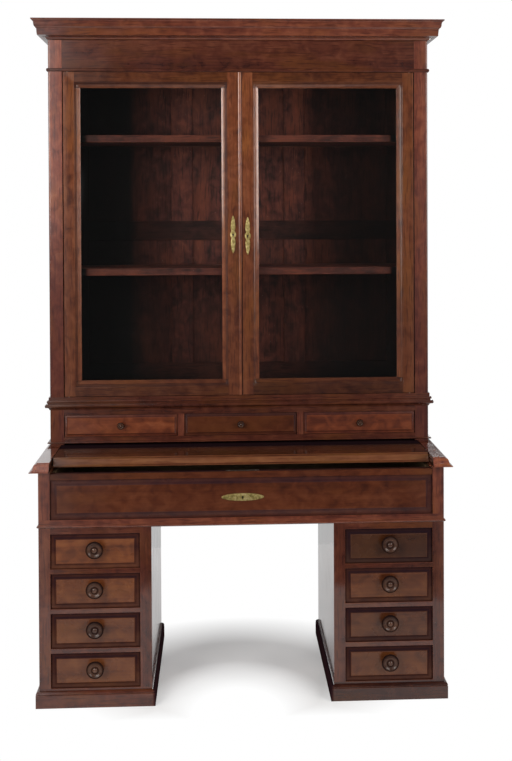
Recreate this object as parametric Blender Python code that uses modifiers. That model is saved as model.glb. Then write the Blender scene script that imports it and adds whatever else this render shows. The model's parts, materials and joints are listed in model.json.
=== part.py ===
"""A mahogany secretary bookcase: a glazed bookcase set back on a pedestal desk with a sliding top.

Metres, +Z up. X runs to the right, Y runs from the front to the back. The origin is on the floor, under the
middle of the whole piece.
"""

import math

import bmesh
import bpy
from mathutils import Matrix, Vector

# Clearances
SEAT_GAP = 0.0003  # between pieces that rest on, or are let into, each other
REVEAL = 0.0012  # joint that shows round a drawer front, a door or the sliding top
RUN_GAP = 0.0006  # under a drawer, and round the tongues of the sliding top
PIN_PLAY = 0.0001  # round a pivot pin of a door
OVERCUT = 0.02  # how far a cutter runs past the wood that it opens
LAP = 0.002  # how far pieces that are joined run into each other
LEDGE_FALL = 0.0005  # rise of a moulding's ledges, which keeps them from lying dead flat

# Plan of the desk and the bookcase
BODY_W = 1.330
DESK_D = 0.607
SETBACK = 0.278  # from the front of the desk to the front of the bookcase
PEDESTAL_W = 0.366
PEDESTAL_STILE_W = 0.038
END_STILE_W = 0.0375  # desk ends, beside the wide drawer
CASE_SIDE_T = 0.022  # sides of the cases behind their stiles
CASE_BACK_T = 0.018
FRAME_T = 0.024  # rails and stiles, front to back
GUIDE_H = 0.022  # strips that guide a drawer's sides

# Heights of the desk
PLINTH_H = 0.042
PLINTH_OUT = 0.011
PLINTH_QUIRK = 0.003  # groove between the plinth and its cap
PLINTH_CAP_H = 0.0085
BOTTOM_RAIL_H = 0.007
PLINTH_WALL = 0.022
FLOOR_T = 0.018
DRAWER_ROWS = 4
OPENING_H = 0.1145
RAIL_H = 0.0155
PEDESTAL_TOP_RAIL_H = 0.020
APRON_FOOT_H = 0.001
APRON_BEAD_H = 0.0085
APRON_BEAD_OUT = 0.005
APRON_RAIL_H = 0.018
WIDE_OPENING_H = 0.159
TOP_T = 0.0295

# Moulded edge of the desk top
TOP_LIP_H = 0.003
TOP_EDGE_RISE = 0.024
TOP_EDGE_RUN = 0.022
TOP_OVERHANG = 0.026

# Sliding top
SLIDE_D = 0.360
SLIDE_SUNK = 0.001  # its face below the fixed ends of the top
SLIDE_OPEN = 0.083  # how far it stands pushed back
TONGUE_W = 0.008
TONGUE_T = 0.008
TONGUE_LIFT = 0.009  # from the underside of the top to the tongue
TONGUE_START = 0.045  # from the nosing to the tongue's front end

# Drawers
FRONT_T = 0.020
FRONT_SUNK = 0.006  # edge of a drawer front behind the frame
FIELD_SUNK = 0.001  # its panel behind the frame
BORDER_W = 0.018
# Drawer front's border, from its edge in: shares of the border's relief and of its width
BORDER_PROFILE = ((0.06, 0.24), (0.10, 0.22), (0.20, 0.22), (0.34, 0.22), (0.30, 0.10))
SMALL_BORDER_W = 0.011
WIDE_BORDER_W = 0.022
WIDE_TOP_STRIP_H = 0.0197  # plain strip over the wide drawer's border
WIDE_TOP_GAP = 0.0095  # between the wide drawer and the top over it
BOX_WALL = 0.010
BOX_BOTTOM = 0.008
BOX_LOWER = 0.014  # the box's rim below the top of its opening
PEDESTAL_BOX_ROOM = 0.089  # between a pushed-in drawer's box and the back of its case
WIDE_BOX_ROOM = 0.069
SMALL_BOX_ROOM = 0.058

# Knobs
KNOB_REACH = 0.034  # in front of the desk
KNOB_R = 0.0285
KNOB_NECK_R = 0.0095
KNOB_RAISE = 0.0105  # above the middle of its drawer
SMALL_KNOB_REACH = 0.022
SMALL_KNOB_R = 0.0125
SMALL_KNOB_NECK_R = 0.0055
SMALL_KNOB_RAISE = 0.001
# Turned knob, from the middle of its face down: shares of its radius and of its reach
KNOB_FACE = ((0.0, 0.97), (0.25, 0.95), (0.42, 0.84), (0.50, 0.79), (0.68, 0.84), (0.76, 0.91))
KNOB_RIM = ((0.90, 0.88), (1.0, 0.76), (0.97, 0.66))
# Its neck, down to its foot: shares of the neck's radius and of the knob's reach
KNOB_NECK = ((1.5, 0.42), (1.0, 0.28), (1.05, 0.14), (1.4, 0.0), (0.0, 0.0))
TURNED_SIDES = 20

# Bookcase
BASE_LIFT = 0.0055  # room over the sliding top
BASE_RAIL_H = 0.0215
BASE_BEAD_H = 0.007
BASE_BEAD_OUT = 0.007
SMALL_OPENING_H = 0.078
SMALL_TOP_RAIL_H = 0.018
SMALL_DRAWERS = 3
SMALL_DIVIDER_W = 0.0225
DIVIDER_STEP = 0.004  # by which the dividers are thinner behind their front edge
WAIST_H = 0.045
WAIST_FOOT_OUT = 0.002
WAIST_HOLLOW_H = 0.008
WAIST_HOLLOW_OUT = 0.008
WAIST_LIP_OUT = 0.002
WAIST_BEAD_H = 0.012
WAIST_BEAD_OUT = 0.004
WAIST_LEDGE_IN = 0.005
WAIST_LEDGE_H = 0.004
WAIST_SMALL_BEAD_H = 0.008
WAIST_SMALL_BEAD_OUT = 0.003
WAIST_TOP_IN = 0.003
DOOR_H = 1.134
FRIEZE_H = 0.110
FRIEZE_T = 0.022
FRIEZE_BEAD_H = 0.012
FRIEZE_BEAD_OUT = 0.003
FRONT_STILE_W = 0.048
STILE_ROUND = 0.006
BOOKCASE_SIDE_T = 0.022
BOOKCASE_BACK_T = 0.016
CORNICE_BOARD_T = 0.018
CORNICE_WALL = 0.026
CORNICE_FOOT_OUT = 0.004
CORNICE_HOLLOW_H = 0.010
CORNICE_HOLLOW_OUT = 0.025
CORNICE_LIP_OUT = 0.003
CORNICE_BAND_H = 0.0235
CORNICE_BAND_LEAN = 0.002
CORNICE_CROWN_STEP = 0.0025
CORNICE_CROWN_FOOT_H = 0.002
CORNICE_SWELL_H = 0.012
CORNICE_SWELL_OUT = 0.006
CORNICE_FLARE_H = 0.013
CORNICE_FLARE_OUT = 0.007
CORNICE_TOP_STEP = 0.0015
CORNICE_TOP_H = 0.004

# Shelves and the framed back
SHELF_T = 0.025
LOWER_SHELF_Z = 1.389
UPPER_SHELF_Z = 1.860
SHELF_SETBACK = 0.052
SHELF_HOUSING = 0.005  # depth of the grooves that hold the shelves
BACK_STILE_W = 0.080
BACK_MUNTIN_W = 0.079
BACK_MUNTIN_X = 0.212
BACK_RAIL_Z = 1.543
BACK_RAIL_H = 0.072
BACK_END_RAIL_H = 0.075
BACK_SUNK = 0.007

# Doors
DOOR_T = 0.024
DOOR_STILE_W = 0.041  # flat of the outer stile
MEETING_STILE_W = 0.037  # flat of the stile where the doors meet
MEETING_X = 0.008  # the joint between the doors, right of the middle
MEETING_BEAD_W = 0.013  # round strip along the left door's edge
MEETING_BEAD_OUT = 0.0045
MEETING_BEAD_FOOT = 0.001  # straight part under the round
DOOR_RAIL_W = 0.0335
DOOR_MOULDING_W = 0.0205
DOOR_MOULDING_D = 0.0115
DOOR_ROUND_W = 0.0075  # outer part of the moulding, beyond its slope to the glass
DOOR_ROUND_D = 0.0035
DOOR_QUIRK = 0.0015
GLASS_T = 0.003
GLASS_DEPTH = 0.0135  # from the door's face to the glass
GLASS_HOUSING = 0.007
PIVOT_IN = 0.016  # from the door's outer edge to its pivot
PIVOT_DEPTH = 0.009  # from the door's face to its pivot
PIN_R = 0.003
PIN_L = 0.024

# Brass
PLATE_T = 0.0025
DOOR_PLATE_L = 0.132
DOOR_PLATE_W = 0.020
DOOR_PLATE_NECK_W = 0.010
DOOR_COLLAR_W = 0.021
DOOR_COLLAR_H = 0.026
DOOR_PLATE_Z = 1.528
LEFT_PLATE_RAISE = 0.005  # of the left door's plate over the right door's
WIDE_PLATE_L = 0.139
WIDE_PLATE_W = 0.025
WIDE_PLATE_Z = 0.678
KEYHOLE_R = 0.0032
KEYHOLE_SLOT_W = 0.0028
KEYHOLE_L = 0.0105
LOCK_W = 0.110
LOCK_H = 0.046
LOCK_T = 0.012

LENS_FULLNESS = 0.5  # how blunt the wide drawer's plate is at its ends
LEAF_FULLNESS = 0.55
LEAF_LEAN = 0.85  # under 1, a leaf is widest nearer the collar

# Points along each curved stretch
CURVE_STEPS = 4
ARC_STEPS = 10
LEAF_STEPS = 7
WELD = 0.00001  # points nearer than this are one point

# Levels worked out from the sizes above
PEDESTAL_FLOOR_Z = PLINTH_H + PLINTH_QUIRK + PLINTH_CAP_H + BOTTOM_RAIL_H
PEDESTAL_TOP_Z = (
    PEDESTAL_FLOOR_Z + DRAWER_ROWS * OPENING_H + (DRAWER_ROWS - 1) * RAIL_H + PEDESTAL_TOP_RAIL_H
)
APRON_Z = PEDESTAL_TOP_Z + SEAT_GAP
WIDE_FLOOR_Z = APRON_Z + APRON_BEAD_H + APRON_RAIL_H
TOP_UNDER_Z = WIDE_FLOOR_Z + WIDE_OPENING_H
DESK_Z = TOP_UNDER_Z + TOP_T
BASE_Z = DESK_Z + BASE_LIFT
SMALL_FLOOR_Z = BASE_Z + BASE_RAIL_H
SMALL_TOP_Z = SMALL_FLOOR_Z + SMALL_OPENING_H
WAIST_Z = SMALL_TOP_Z + SMALL_TOP_RAIL_H
DOOR_Z = WAIST_Z + WAIST_H
FRIEZE_Z = DOOR_Z + DOOR_H
CORNICE_Z = FRIEZE_Z + FRIEZE_H

# Planes worked out from the sizes above
HALF_W = BODY_W / 2
DESK_FRONT = -(DESK_D - KNOB_REACH) / 2
DESK_BACK = DESK_FRONT + DESK_D
CASE_FRONT = DESK_FRONT + SETBACK
WELL_X = HALF_W - END_STILE_W
STILE_X = HALF_W - FRONT_STILE_W
INSIDE_X = HALF_W - BOOKCASE_SIDE_T
INSIDE_BACK = DESK_BACK - BOOKCASE_BACK_T
PEDESTAL_X = HALF_W - PEDESTAL_W / 2
PIVOT_X = STILE_X - REVEAL - PIVOT_IN
PIVOT_Y = CASE_FRONT + PIVOT_DEPTH

# Depths worked out from the sizes above
PEDESTAL_BOX_D = DESK_D - CASE_BACK_T - PEDESTAL_BOX_ROOM
WIDE_BOX_D = DESK_D - CASE_BACK_T - WIDE_BOX_ROOM
SMALL_BOX_D = DESK_D - SETBACK - BOOKCASE_BACK_T - SMALL_BOX_ROOM

LEFT, RIGHT = Vector((-1, 0, 0)), Vector((1, 0, 0))
FORWARD, UP, DOWN = Vector((0, -1, 0)), Vector((0, 0, 1)), Vector((0, 0, -1))
THREE_SIDES = (LEFT, RIGHT, FORWARD)
FOUR_SIDES = (LEFT, RIGHT, UP, DOWN)

# Colour, roughness and metallic value of each finish
FINISHES = {
    "mahogany": ((0.130, 0.042, 0.022), 0.28, 0.0),
    "drawer_mahogany": ((0.175, 0.066, 0.027), 0.30, 0.0),
    "oak_lining": ((0.300, 0.185, 0.095), 0.60, 0.0),
    "brass": ((0.560, 0.450, 0.190), 0.32, 1.0),
    "steel": ((0.400, 0.390, 0.370), 0.40, 1.0),
    "glass": ((0.850, 0.900, 0.880), 0.04, 0.0),
}


def clear_scene():
    """Removes every object, so that the piece stands alone."""
    for obj in list(bpy.data.objects):
        bpy.data.objects.remove(obj, do_unlink=True)


def collection(name):
    made = bpy.data.collections.new(name)
    bpy.context.scene.collection.children.link(made)
    return made


def link_mesh(name, mesh, group):
    obj = bpy.data.objects.new(name, mesh)
    group.objects.link(obj)
    return obj


def link_bmesh(name, bm, group):
    mesh = bpy.data.meshes.new(name)
    bm.to_mesh(mesh)
    bm.free()
    return link_mesh(name, mesh, group)


def add_box(bm, x, y, z):
    """Adds a box between low and high values along each axis."""
    middle = Vector(((x[0] + x[1]) / 2, (y[0] + y[1]) / 2, (z[0] + z[1]) / 2))
    size = Matrix.Diagonal((x[1] - x[0], y[1] - y[0], z[1] - z[0], 1.0))
    bmesh.ops.create_cube(bm, size=1.0, matrix=Matrix.Translation(middle) @ size)


def box(name, group, x, y, z):
    bm = bmesh.new()
    add_box(bm, x, y, z)
    return link_bmesh(name, bm, group)


def facing(bm, direction):
    """The largest of the faces that look most nearly along a direction."""
    bm.normal_update()
    return max(bm.faces, key=lambda face: (round(face.normal.dot(direction), 2), face.calc_area()))


def step_face(bm, face, along, rise, spread, sides):
    """Extrudes a face by rise, and moves its edges by spread on the given sides."""
    face = bmesh.ops.extrude_discrete_faces(bm, faces=[face])["faces"][0]
    middle = face.calc_center_median()
    for vert in face.verts:
        offset = vert.co - middle
        for side in sides:
            if offset.dot(side) > 0:
                vert.co += side * spread
        vert.co += along * rise
    return face


def quarter(run, rise, steep_first):
    """Steps of rise and run along a quarter of an ellipse, which starts steep or flat."""
    points = []
    for step in range(CURVE_STEPS + 1):
        angle = math.pi / 2 * step / CURVE_STEPS
        slow, fast = 1 - math.cos(angle), math.sin(angle)
        points.append((rise * fast, run * slow) if steep_first else (rise * slow, run * fast))
    return [(b[0] - a[0], b[1] - a[1]) for a, b in zip(points, points[1:])]


def half_round(height, out):
    """Steps up a bead that swells and comes back."""
    return quarter(out, height / 2, False) + quarter(-out, height / 2, True)


def moulded(name, group, x, y, z, along, steps, sides):
    """A box whose face along a direction grows by steps of rise and spread, mitred at its corners."""
    bm = bmesh.new()
    add_box(bm, x, y, z)
    face = facing(bm, along)
    for rise, spread in steps:
        face = step_face(bm, face, along, rise, spread, sides)
    return link_bmesh(name, bm, group)


def outlined(name, group, outlines, thickness):
    """A flat plate in the XY plane, centred on it, from closed outlines. Inner outlines are holes."""
    curve = bpy.data.curves.new(name, "CURVE")
    curve.dimensions = "2D"
    curve.fill_mode = "BOTH"
    curve.extrude = thickness / 2
    for outline in outlines:
        spline = curve.splines.new("POLY")
        spline.points.add(len(outline) - 1)
        for point, (x, y) in zip(spline.points, outline):
            point.co = (x, y, 0, 1)
        spline.use_cyclic_u = True
    guide = link_mesh(name + "_outline", curve, group)
    bpy.context.view_layer.update()
    graph = bpy.context.evaluated_depsgraph_get()
    mesh = bpy.data.meshes.new_from_object(guide.evaluated_get(graph))
    bpy.data.objects.remove(guide)
    bm = bmesh.new()
    bm.from_mesh(mesh)
    bmesh.ops.remove_doubles(bm, verts=bm.verts, dist=WELD)
    bmesh.ops.recalc_face_normals(bm, faces=bm.faces)
    bm.to_mesh(mesh)
    bm.free()
    mesh.name = name
    return link_mesh(name, mesh, group)


def plan_prism(name, group, outline, z):
    """An upright prism on a plan outline, between two levels."""
    obj = outlined(name, group, [outline], z[1] - z[0])
    obj.data.transform(Matrix.Translation((0, 0, (z[0] + z[1]) / 2)))
    return obj


def arc(centre, radius, start, end, steps):
    """Points along an arc, with angles in radians."""
    angles = [start + (end - start) * step / steps for step in range(steps + 1)]
    return [(centre[0] + radius * math.cos(a), centre[1] + radius * math.sin(a)) for a in angles]


def turned(name, group, profile):
    """A turned piece on the Z axis, from a profile of radius and height that runs from its top down."""
    bm = bmesh.new()
    verts = [bm.verts.new((radius, 0, height)) for radius, height in profile]
    for first, second in zip(verts, verts[1:]):
        bm.edges.new((first, second))
    obj = link_bmesh(name, bm, group)
    screw = obj.modifiers.new("turning", "SCREW")
    screw.axis = "Z"
    screw.steps = screw.render_steps = TURNED_SIDES
    screw.use_merge_vertices = True
    screw.merge_threshold = WELD
    return obj


def add_rod(bm, radius, centre, z):
    """Adds an upright cylinder between two levels."""
    place = Matrix.Translation((centre[0], centre[1], (z[0] + z[1]) / 2))
    sizes = {"radius1": radius, "radius2": radius, "depth": z[1] - z[0]}
    bmesh.ops.create_cone(bm, cap_ends=True, segments=TURNED_SIDES, matrix=place, **sizes)


def cutter(name, boxes):
    """A hidden helper made of boxes that stand apart."""
    bm = bmesh.new()
    for x, y, z in boxes:
        add_box(bm, x, y, z)
    return helper(link_bmesh(name, bm, CUTTERS))


def helper(obj):
    obj.hide_render = True
    obj.display_type = "WIRE"
    return obj


def boolean(obj, operation, other):
    modifier = obj.modifiers.new(other.name, "BOOLEAN")
    modifier.operation = operation
    modifier.solver = "EXACT"
    modifier.object = other


def cut(obj, other):
    boolean(obj, "DIFFERENCE", other)


def join(obj, other):
    boolean(obj, "UNION", other)


def dress(obj, finish):
    """Gives an object its own material."""
    colour, roughness, metallic = FINISHES[finish]
    material = bpy.data.materials.new(f"{obj.name}_{finish}")
    material.use_nodes = True
    shader = material.node_tree.nodes["Principled BSDF"]
    shader.inputs["Base Color"].default_value = (*colour, 1.0)
    shader.inputs["Roughness"].default_value = roughness
    shader.inputs["Metallic"].default_value = metallic
    if finish == "glass":
        shader.inputs["Transmission Weight"].default_value = 1.0
    obj.data.materials.clear()
    obj.data.materials.append(material)


def seat(obj, finish, carrier):
    """Puts an object's origin in the middle of its shape, hangs it on its carrier and gives it a finish."""
    corners = [Vector(corner) for corner in obj.bound_box]
    middle = (corners[0] + corners[6]) / 2
    obj.data.transform(Matrix.Translation(-middle))
    obj.location = middle - carrier.location
    obj.parent = carrier
    dress(obj, finish)


def axis_empty(name, place):
    """An empty on a joint's axis, which carries the pieces that move there."""
    empty = bpy.data.objects.new(name, None)
    empty.location = place
    empty.parent = ROOT
    PARTS.objects.link(empty)
    return empty


def keyhole(x, y):
    """Outline of a keyhole, with its round end up."""
    spread = math.asin(KEYHOLE_SLOT_W / 2 / KEYHOLE_R)
    round_end = arc((x, y), KEYHOLE_R, -math.pi / 2 + spread, 1.5 * math.pi - spread, ARC_STEPS)
    foot = y + KEYHOLE_R - KEYHOLE_L
    return round_end + [(x - KEYHOLE_SLOT_W / 2, foot), (x + KEYHOLE_SLOT_W / 2, foot)]


def front_steps(border):
    """Steps of rise and inset over a drawer front's border: a hollow that rises to the panel."""
    relief = FRONT_SUNK - FIELD_SUNK
    return [(relief * rise, -border * inset) for rise, inset in BORDER_PROFILE]


def drawer_front(name, x, front, z, border):
    """A drawer front with a sunk border round a raised panel."""
    depth = (front + FRONT_SUNK, front + FRONT_SUNK + FRONT_T)
    return moulded(name, PARTS, x, depth, z, FORWARD, front_steps(border), FOUR_SIDES)


def drawer_box(name, x, y, z):
    """An open tray: its inside is pressed down from its rim."""
    bm = bmesh.new()
    add_box(bm, x, y, z)
    rim = step_face(bm, facing(bm, UP), UP, 0.0, -BOX_WALL, (LEFT, RIGHT, FORWARD, -FORWARD))
    step_face(bm, rim, UP, BOX_BOTTOM - (z[1] - z[0]), 0.0, ())
    return link_bmesh(name, bm, PARTS)


def knob_profile(radius, neck, reach):
    """Turned knob: a foot, a neck, a swelling rim, and a face with a sunk ring round a boss."""
    face = [(radius * across, reach * along) for across, along in KNOB_FACE + KNOB_RIM]
    return face + [(neck * across, reach * along) for across, along in KNOB_NECK]


def make_knob(name, profile, x, y, z, carrier):
    """Stands a turned knob on a drawer's panel, facing forward."""
    knob = turned(name, PARTS, profile)
    knob.rotation_euler = (math.pi / 2, 0, 0)
    knob.location = Vector((x, y - SEAT_GAP, z)) - carrier.location
    knob.parent = carrier
    dress(knob, "mahogany")


def make_drawer(name, x, front, z, depth, border, knob, knob_raise):
    """A drawer in an opening: its front, its box and its knob, on an empty that slides."""
    slide = axis_empty(name + "_slide", (sum(x) / 2, front, sum(z) / 2))
    wide = (x[0] + REVEAL, x[1] - REVEAL)
    board = drawer_front(name + "_front", wide, front, (z[0] + RUN_GAP, z[1] - REVEAL), border)
    seat(board, "drawer_mahogany", slide)
    box_front = front + FRONT_SUNK + FRONT_T + SEAT_GAP
    tray = drawer_box(name + "_box", wide, (box_front, front + depth), (z[0] + RUN_GAP, z[1] - BOX_LOWER))
    seat(tray, "oak_lining", slide)
    make_knob(name + "_knob", knob, sum(x) / 2, front + FIELD_SUNK, sum(z) / 2 + knob_raise, slide)


def opening_levels():
    """Bottom and top of each pedestal drawer's opening, from the top row down."""
    levels = []
    for row in reversed(range(DRAWER_ROWS)):
        low = PEDESTAL_FLOOR_Z + row * (OPENING_H + RAIL_H)
        levels.append((low, low + OPENING_H))
    return levels


def make_pedestal(side, sign):
    """A pedestal case on its plinth, with an opening for each drawer and its four drawers."""
    middle = sign * PEDESTAL_X
    outer = (middle - PEDESTAL_W / 2, middle + PEDESTAL_W / 2)
    inner = (outer[0] + PEDESTAL_STILE_W, outer[1] - PEDESTAL_STILE_W)
    plinth_x = (outer[0] - PLINTH_OUT, outer[1] + PLINTH_OUT)
    steps = [(LEDGE_FALL, -PLINTH_QUIRK), (PLINTH_QUIRK - 2 * LEDGE_FALL, 0.0), (LEDGE_FALL, PLINTH_QUIRK)]
    steps += quarter(-PLINTH_OUT, PLINTH_CAP_H, True)
    steps.append((PEDESTAL_TOP_Z - PEDESTAL_FLOOR_Z + BOTTOM_RAIL_H, 0.0))
    plinth_y = (DESK_FRONT - PLINTH_OUT, DESK_BACK)
    name = f"{side}_pedestal"
    case = moulded(name, PARTS, plinth_x, plinth_y, (0.0, PLINTH_H), UP, steps, THREE_SIDES)
    case_back = DESK_BACK - CASE_BACK_T
    openings = []
    hollows = []
    for low, high in opening_levels():
        openings.append((inner, (DESK_FRONT - OVERCUT, case_back), (low, high)))
        behind = (outer[0] + CASE_SIDE_T, outer[1] - CASE_SIDE_T)
        hollows.append((behind, (DESK_FRONT + FRAME_T, case_back - LAP), (low + GUIDE_H, high - LAP)))
    cut(case, cutter(f"{side}_pedestal_openings", openings))
    cut(case, cutter(f"{side}_pedestal_hollows", hollows))
    under_x = (plinth_x[0] + PLINTH_WALL, plinth_x[1] - PLINTH_WALL)
    under_y = (DESK_FRONT - PLINTH_OUT + PLINTH_WALL, DESK_BACK - PLINTH_WALL)
    under_z = (-OVERCUT, PEDESTAL_FLOOR_Z - FLOOR_T)
    cut(case, cutter(f"{side}_plinth_hollow", [(under_x, under_y, under_z)]))
    seat(case, "mahogany", ROOT)
    knob = knob_profile(KNOB_R, KNOB_NECK_R, KNOB_REACH + FIELD_SUNK - SEAT_GAP)
    for number, levels in enumerate(opening_levels(), start=1):
        name = f"{side}_drawer_{number}"
        make_drawer(name, inner, DESK_FRONT, levels, PEDESTAL_BOX_D, BORDER_W, knob, KNOB_RAISE)


def top_edge_steps(sunk):
    """Steps up the moulded edge of the desk top, over its lip: a hollow, a round and a fillet."""
    run, rise = TOP_EDGE_RUN / 2, TOP_EDGE_RISE / 2
    fillet = TOP_T - sunk - TOP_LIP_H - TOP_EDGE_RISE
    return quarter(-run, rise, False) + quarter(-run, rise, True) + [(fillet, 0.0)]


def make_desk_frame():
    """The upper case of the desk, open for the wide drawer, with a fixed moulded top at each end."""
    bead = half_round(APRON_BEAD_H, APRON_BEAD_OUT)
    bead_z = APRON_Z + APRON_FOOT_H
    frame = moulded(
        "desk_frame", PARTS, (-HALF_W, HALF_W), (DESK_FRONT, DESK_BACK), (APRON_Z, bead_z), UP,
        bead + [(TOP_UNDER_Z + LAP - APRON_BEAD_H - bead_z, 0.0)], THREE_SIDES,
    )
    case_back = DESK_BACK - CASE_BACK_T
    opening_y = (DESK_FRONT - OVERCUT, case_back)
    opening_z = (WIDE_FLOOR_Z, TOP_UNDER_Z + OVERCUT)
    cut(frame, cutter("wide_opening", [((-WELL_X, WELL_X), opening_y, opening_z)]))
    hollow_x = HALF_W - CASE_SIDE_T
    hollow_y = (DESK_FRONT + FRAME_T, case_back - LAP)
    hollow_z = (WIDE_FLOOR_Z + GUIDE_H, TOP_UNDER_Z - GUIDE_H)
    cut(frame, cutter("wide_hollow", [((-hollow_x, hollow_x), hollow_y, hollow_z)]))
    for side, sign, outward in (("left", -1, LEFT), ("right", 1, RIGHT)):
        span = sorted((sign * (WELL_X + SEAT_GAP), sign * (HALF_W + TOP_OVERHANG)))
        cheek = moulded(
            f"{side}_cheek", CUTTERS, span, (DESK_FRONT - TOP_OVERHANG, DESK_BACK - SEAT_GAP),
            (TOP_UNDER_Z, TOP_UNDER_Z + TOP_LIP_H), UP, top_edge_steps(0.0), (outward, FORWARD),
        )
        join(frame, helper(cheek))
    strip_y = (case_back + SEAT_GAP, DESK_BACK - 2 * SEAT_GAP)
    back_strip = ((-WELL_X - LAP, WELL_X + LAP), strip_y, (TOP_UNDER_Z - LAP, DESK_Z - SEAT_GAP))
    join(frame, cutter("back_strip", [back_strip]))
    groove_x = WELL_X + TONGUE_W + RUN_GAP
    groove_low = TOP_UNDER_Z + TONGUE_LIFT - SEAT_GAP
    groove_z = (groove_low, groove_low + TONGUE_T + SEAT_GAP + RUN_GAP)
    groove_front = DESK_FRONT - TOP_OVERHANG + TONGUE_START - REVEAL
    cut(frame, cutter("tongue_groove", [((-groove_x, groove_x), (groove_front, case_back), groove_z)]))
    seat(frame, "mahogany", ROOT)


def make_sliding_top():
    """The middle of the desk top, which runs in grooves and stands pushed back from its closed place."""
    front = DESK_FRONT - TOP_OVERHANG + SLIDE_OPEN
    back = front + SLIDE_D
    under = TOP_UNDER_Z + REVEAL
    half = WELL_X - REVEAL
    steps = top_edge_steps(SLIDE_SUNK)
    lip = (under, TOP_UNDER_Z + TOP_LIP_H)
    board = moulded("sliding_top", PARTS, (-half, half), (front, back), lip, UP, steps, (FORWARD,))
    tongue_low = TOP_UNDER_Z + TONGUE_LIFT
    tongue_x = WELL_X + TONGUE_W
    tongue = ((-tongue_x, tongue_x), (front + TONGUE_START, back - LAP), (tongue_low, tongue_low + TONGUE_T))
    join(board, cutter("tongues", [tongue]))
    seat(board, "mahogany", axis_empty("sliding_top_slide", (0, front, DESK_Z)))


def make_wide_drawer():
    """The wide drawer under the sliding top, with its brass keyhole plate and its lock."""
    middle_z = WIDE_FLOOR_Z + WIDE_OPENING_H / 2
    slide = axis_empty("wide_drawer_slide", (0, DESK_FRONT, middle_z))
    wide = (REVEAL - WELL_X, WELL_X - REVEAL)
    top = TOP_UNDER_Z - WIDE_TOP_GAP
    low = WIDE_FLOOR_Z + RUN_GAP
    panel_top = top - WIDE_TOP_STRIP_H
    board = drawer_front("wide_drawer_front", wide, DESK_FRONT, (low, panel_top + LAP), WIDE_BORDER_W)
    front_back = DESK_FRONT + FRONT_SUNK + FRONT_T
    strip_x = (wide[0] + SEAT_GAP, wide[1] - SEAT_GAP)
    strip_y = (DESK_FRONT + FIELD_SUNK, front_back - SEAT_GAP)
    join(board, cutter("wide_drawer_top_strip", [(strip_x, strip_y, (panel_top, top))]))
    lock_front = front_back - LOCK_T
    recess_x = LOCK_W / 2 + SEAT_GAP
    recess_y = (lock_front - SEAT_GAP, front_back + OVERCUT)
    recess_z = (top - LOCK_H - SEAT_GAP, top + OVERCUT)
    cut(board, cutter("lock_recess", [((-recess_x, recess_x), recess_y, recess_z)]))
    seat(board, "mahogany", slide)
    lock_x = (-LOCK_W / 2, LOCK_W / 2)
    lock = box("wide_drawer_lock", PARTS, lock_x, (lock_front, front_back), (top - LOCK_H, top))
    seat(lock, "brass", slide)
    tray_y = (front_back + SEAT_GAP, DESK_FRONT + WIDE_BOX_D)
    tray = drawer_box("wide_drawer_box", wide, tray_y, (low, TOP_UNDER_Z - BOX_LOWER))
    seat(tray, "oak_lining", slide)
    plate_y = DESK_FRONT + FIELD_SUNK - SEAT_GAP - PLATE_T / 2
    outlines = [lens(WIDE_PLATE_L, WIDE_PLATE_W), keyhole(0, 0)]
    plate = outlined("wide_drawer_escutcheon", PARTS, outlines, PLATE_T)
    stand_plate(plate, 0, plate_y, WIDE_PLATE_Z)
    seat(plate, "brass", slide)


def lens(length, width):
    """Outline of a long plate with two bowed edges and blunt round ends."""
    edge = []
    for step in range(2 * LEAF_STEPS + 1):
        along = -math.cos(math.pi * step / (2 * LEAF_STEPS))
        edge.append((along * length / 2, width / 2 * (1 - along * along) ** LENS_FULLNESS))
    return edge + [(x, -y) for x, y in reversed(edge[1:-1])]


def leaf_plate():
    """Outline of a door's keyhole plate: a leaf above and below an oval collar."""
    turn = math.acos(DOOR_PLATE_NECK_W / DOOR_COLLAR_W)
    neck = DOOR_COLLAR_H / 2 * math.sin(turn)
    stretch = DOOR_COLLAR_H / DOOR_COLLAR_W
    side = [(x, y * stretch) for x, y in arc((0, 0), DOOR_COLLAR_W / 2, 0.0, turn, CURVE_STEPS)]
    leaf = DOOR_PLATE_L / 2 - neck
    swell = (DOOR_PLATE_W - DOOR_PLATE_NECK_W) / 2
    for step in range(1, LEAF_STEPS):
        share = step / LEAF_STEPS
        waist = DOOR_PLATE_NECK_W / 2 * (1 - share)
        bulge = math.sin(math.pi * share**LEAF_LEAN) ** LEAF_FULLNESS
        side.append((waist + swell * bulge, neck + leaf * share))
    upper = side + [(0, DOOR_PLATE_L / 2)] + [(-x, y) for x, y in reversed(side)]
    return upper + [(x, -y) for x, y in reversed(upper[1:-1])]


def stand_plate(plate, x, y, z):
    """Turns a flat plate upright, so that it faces forward, at a place."""
    plate.data.transform(Matrix.Translation((x, y, z)) @ Matrix.Rotation(math.pi / 2, 4, "X"))


def moulding_ring(name, z, steps):
    """A moulding round the front and the ends of the bookcase, open at the back."""
    low = (z, z + SEAT_GAP)
    ring = moulded(name, CUTTERS, (-HALF_W, HALF_W), (CASE_FRONT, DESK_BACK), low, UP, steps, THREE_SIDES)
    body_x = HALF_W + SEAT_GAP
    body_y = (CASE_FRONT - SEAT_GAP, DESK_BACK + OVERCUT)
    body_z = (z - OVERCUT, z + sum(rise for rise, spread in steps) + OVERCUT)
    cut(ring, cutter(name + "_body", [((-body_x, body_x), body_y, body_z)]))
    return helper(ring)


def join_ring(obj, ring, z):
    """Joins a moulding to the front of the piece that carries it."""
    join(obj, ring)
    tenon_x = STILE_X - LAP
    tenon_y = (CASE_FRONT - LAP / 2, CASE_FRONT + LAP)
    join(obj, cutter(ring.name + "_tenon", [((-tenon_x, tenon_x), tenon_y, z)]))


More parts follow.
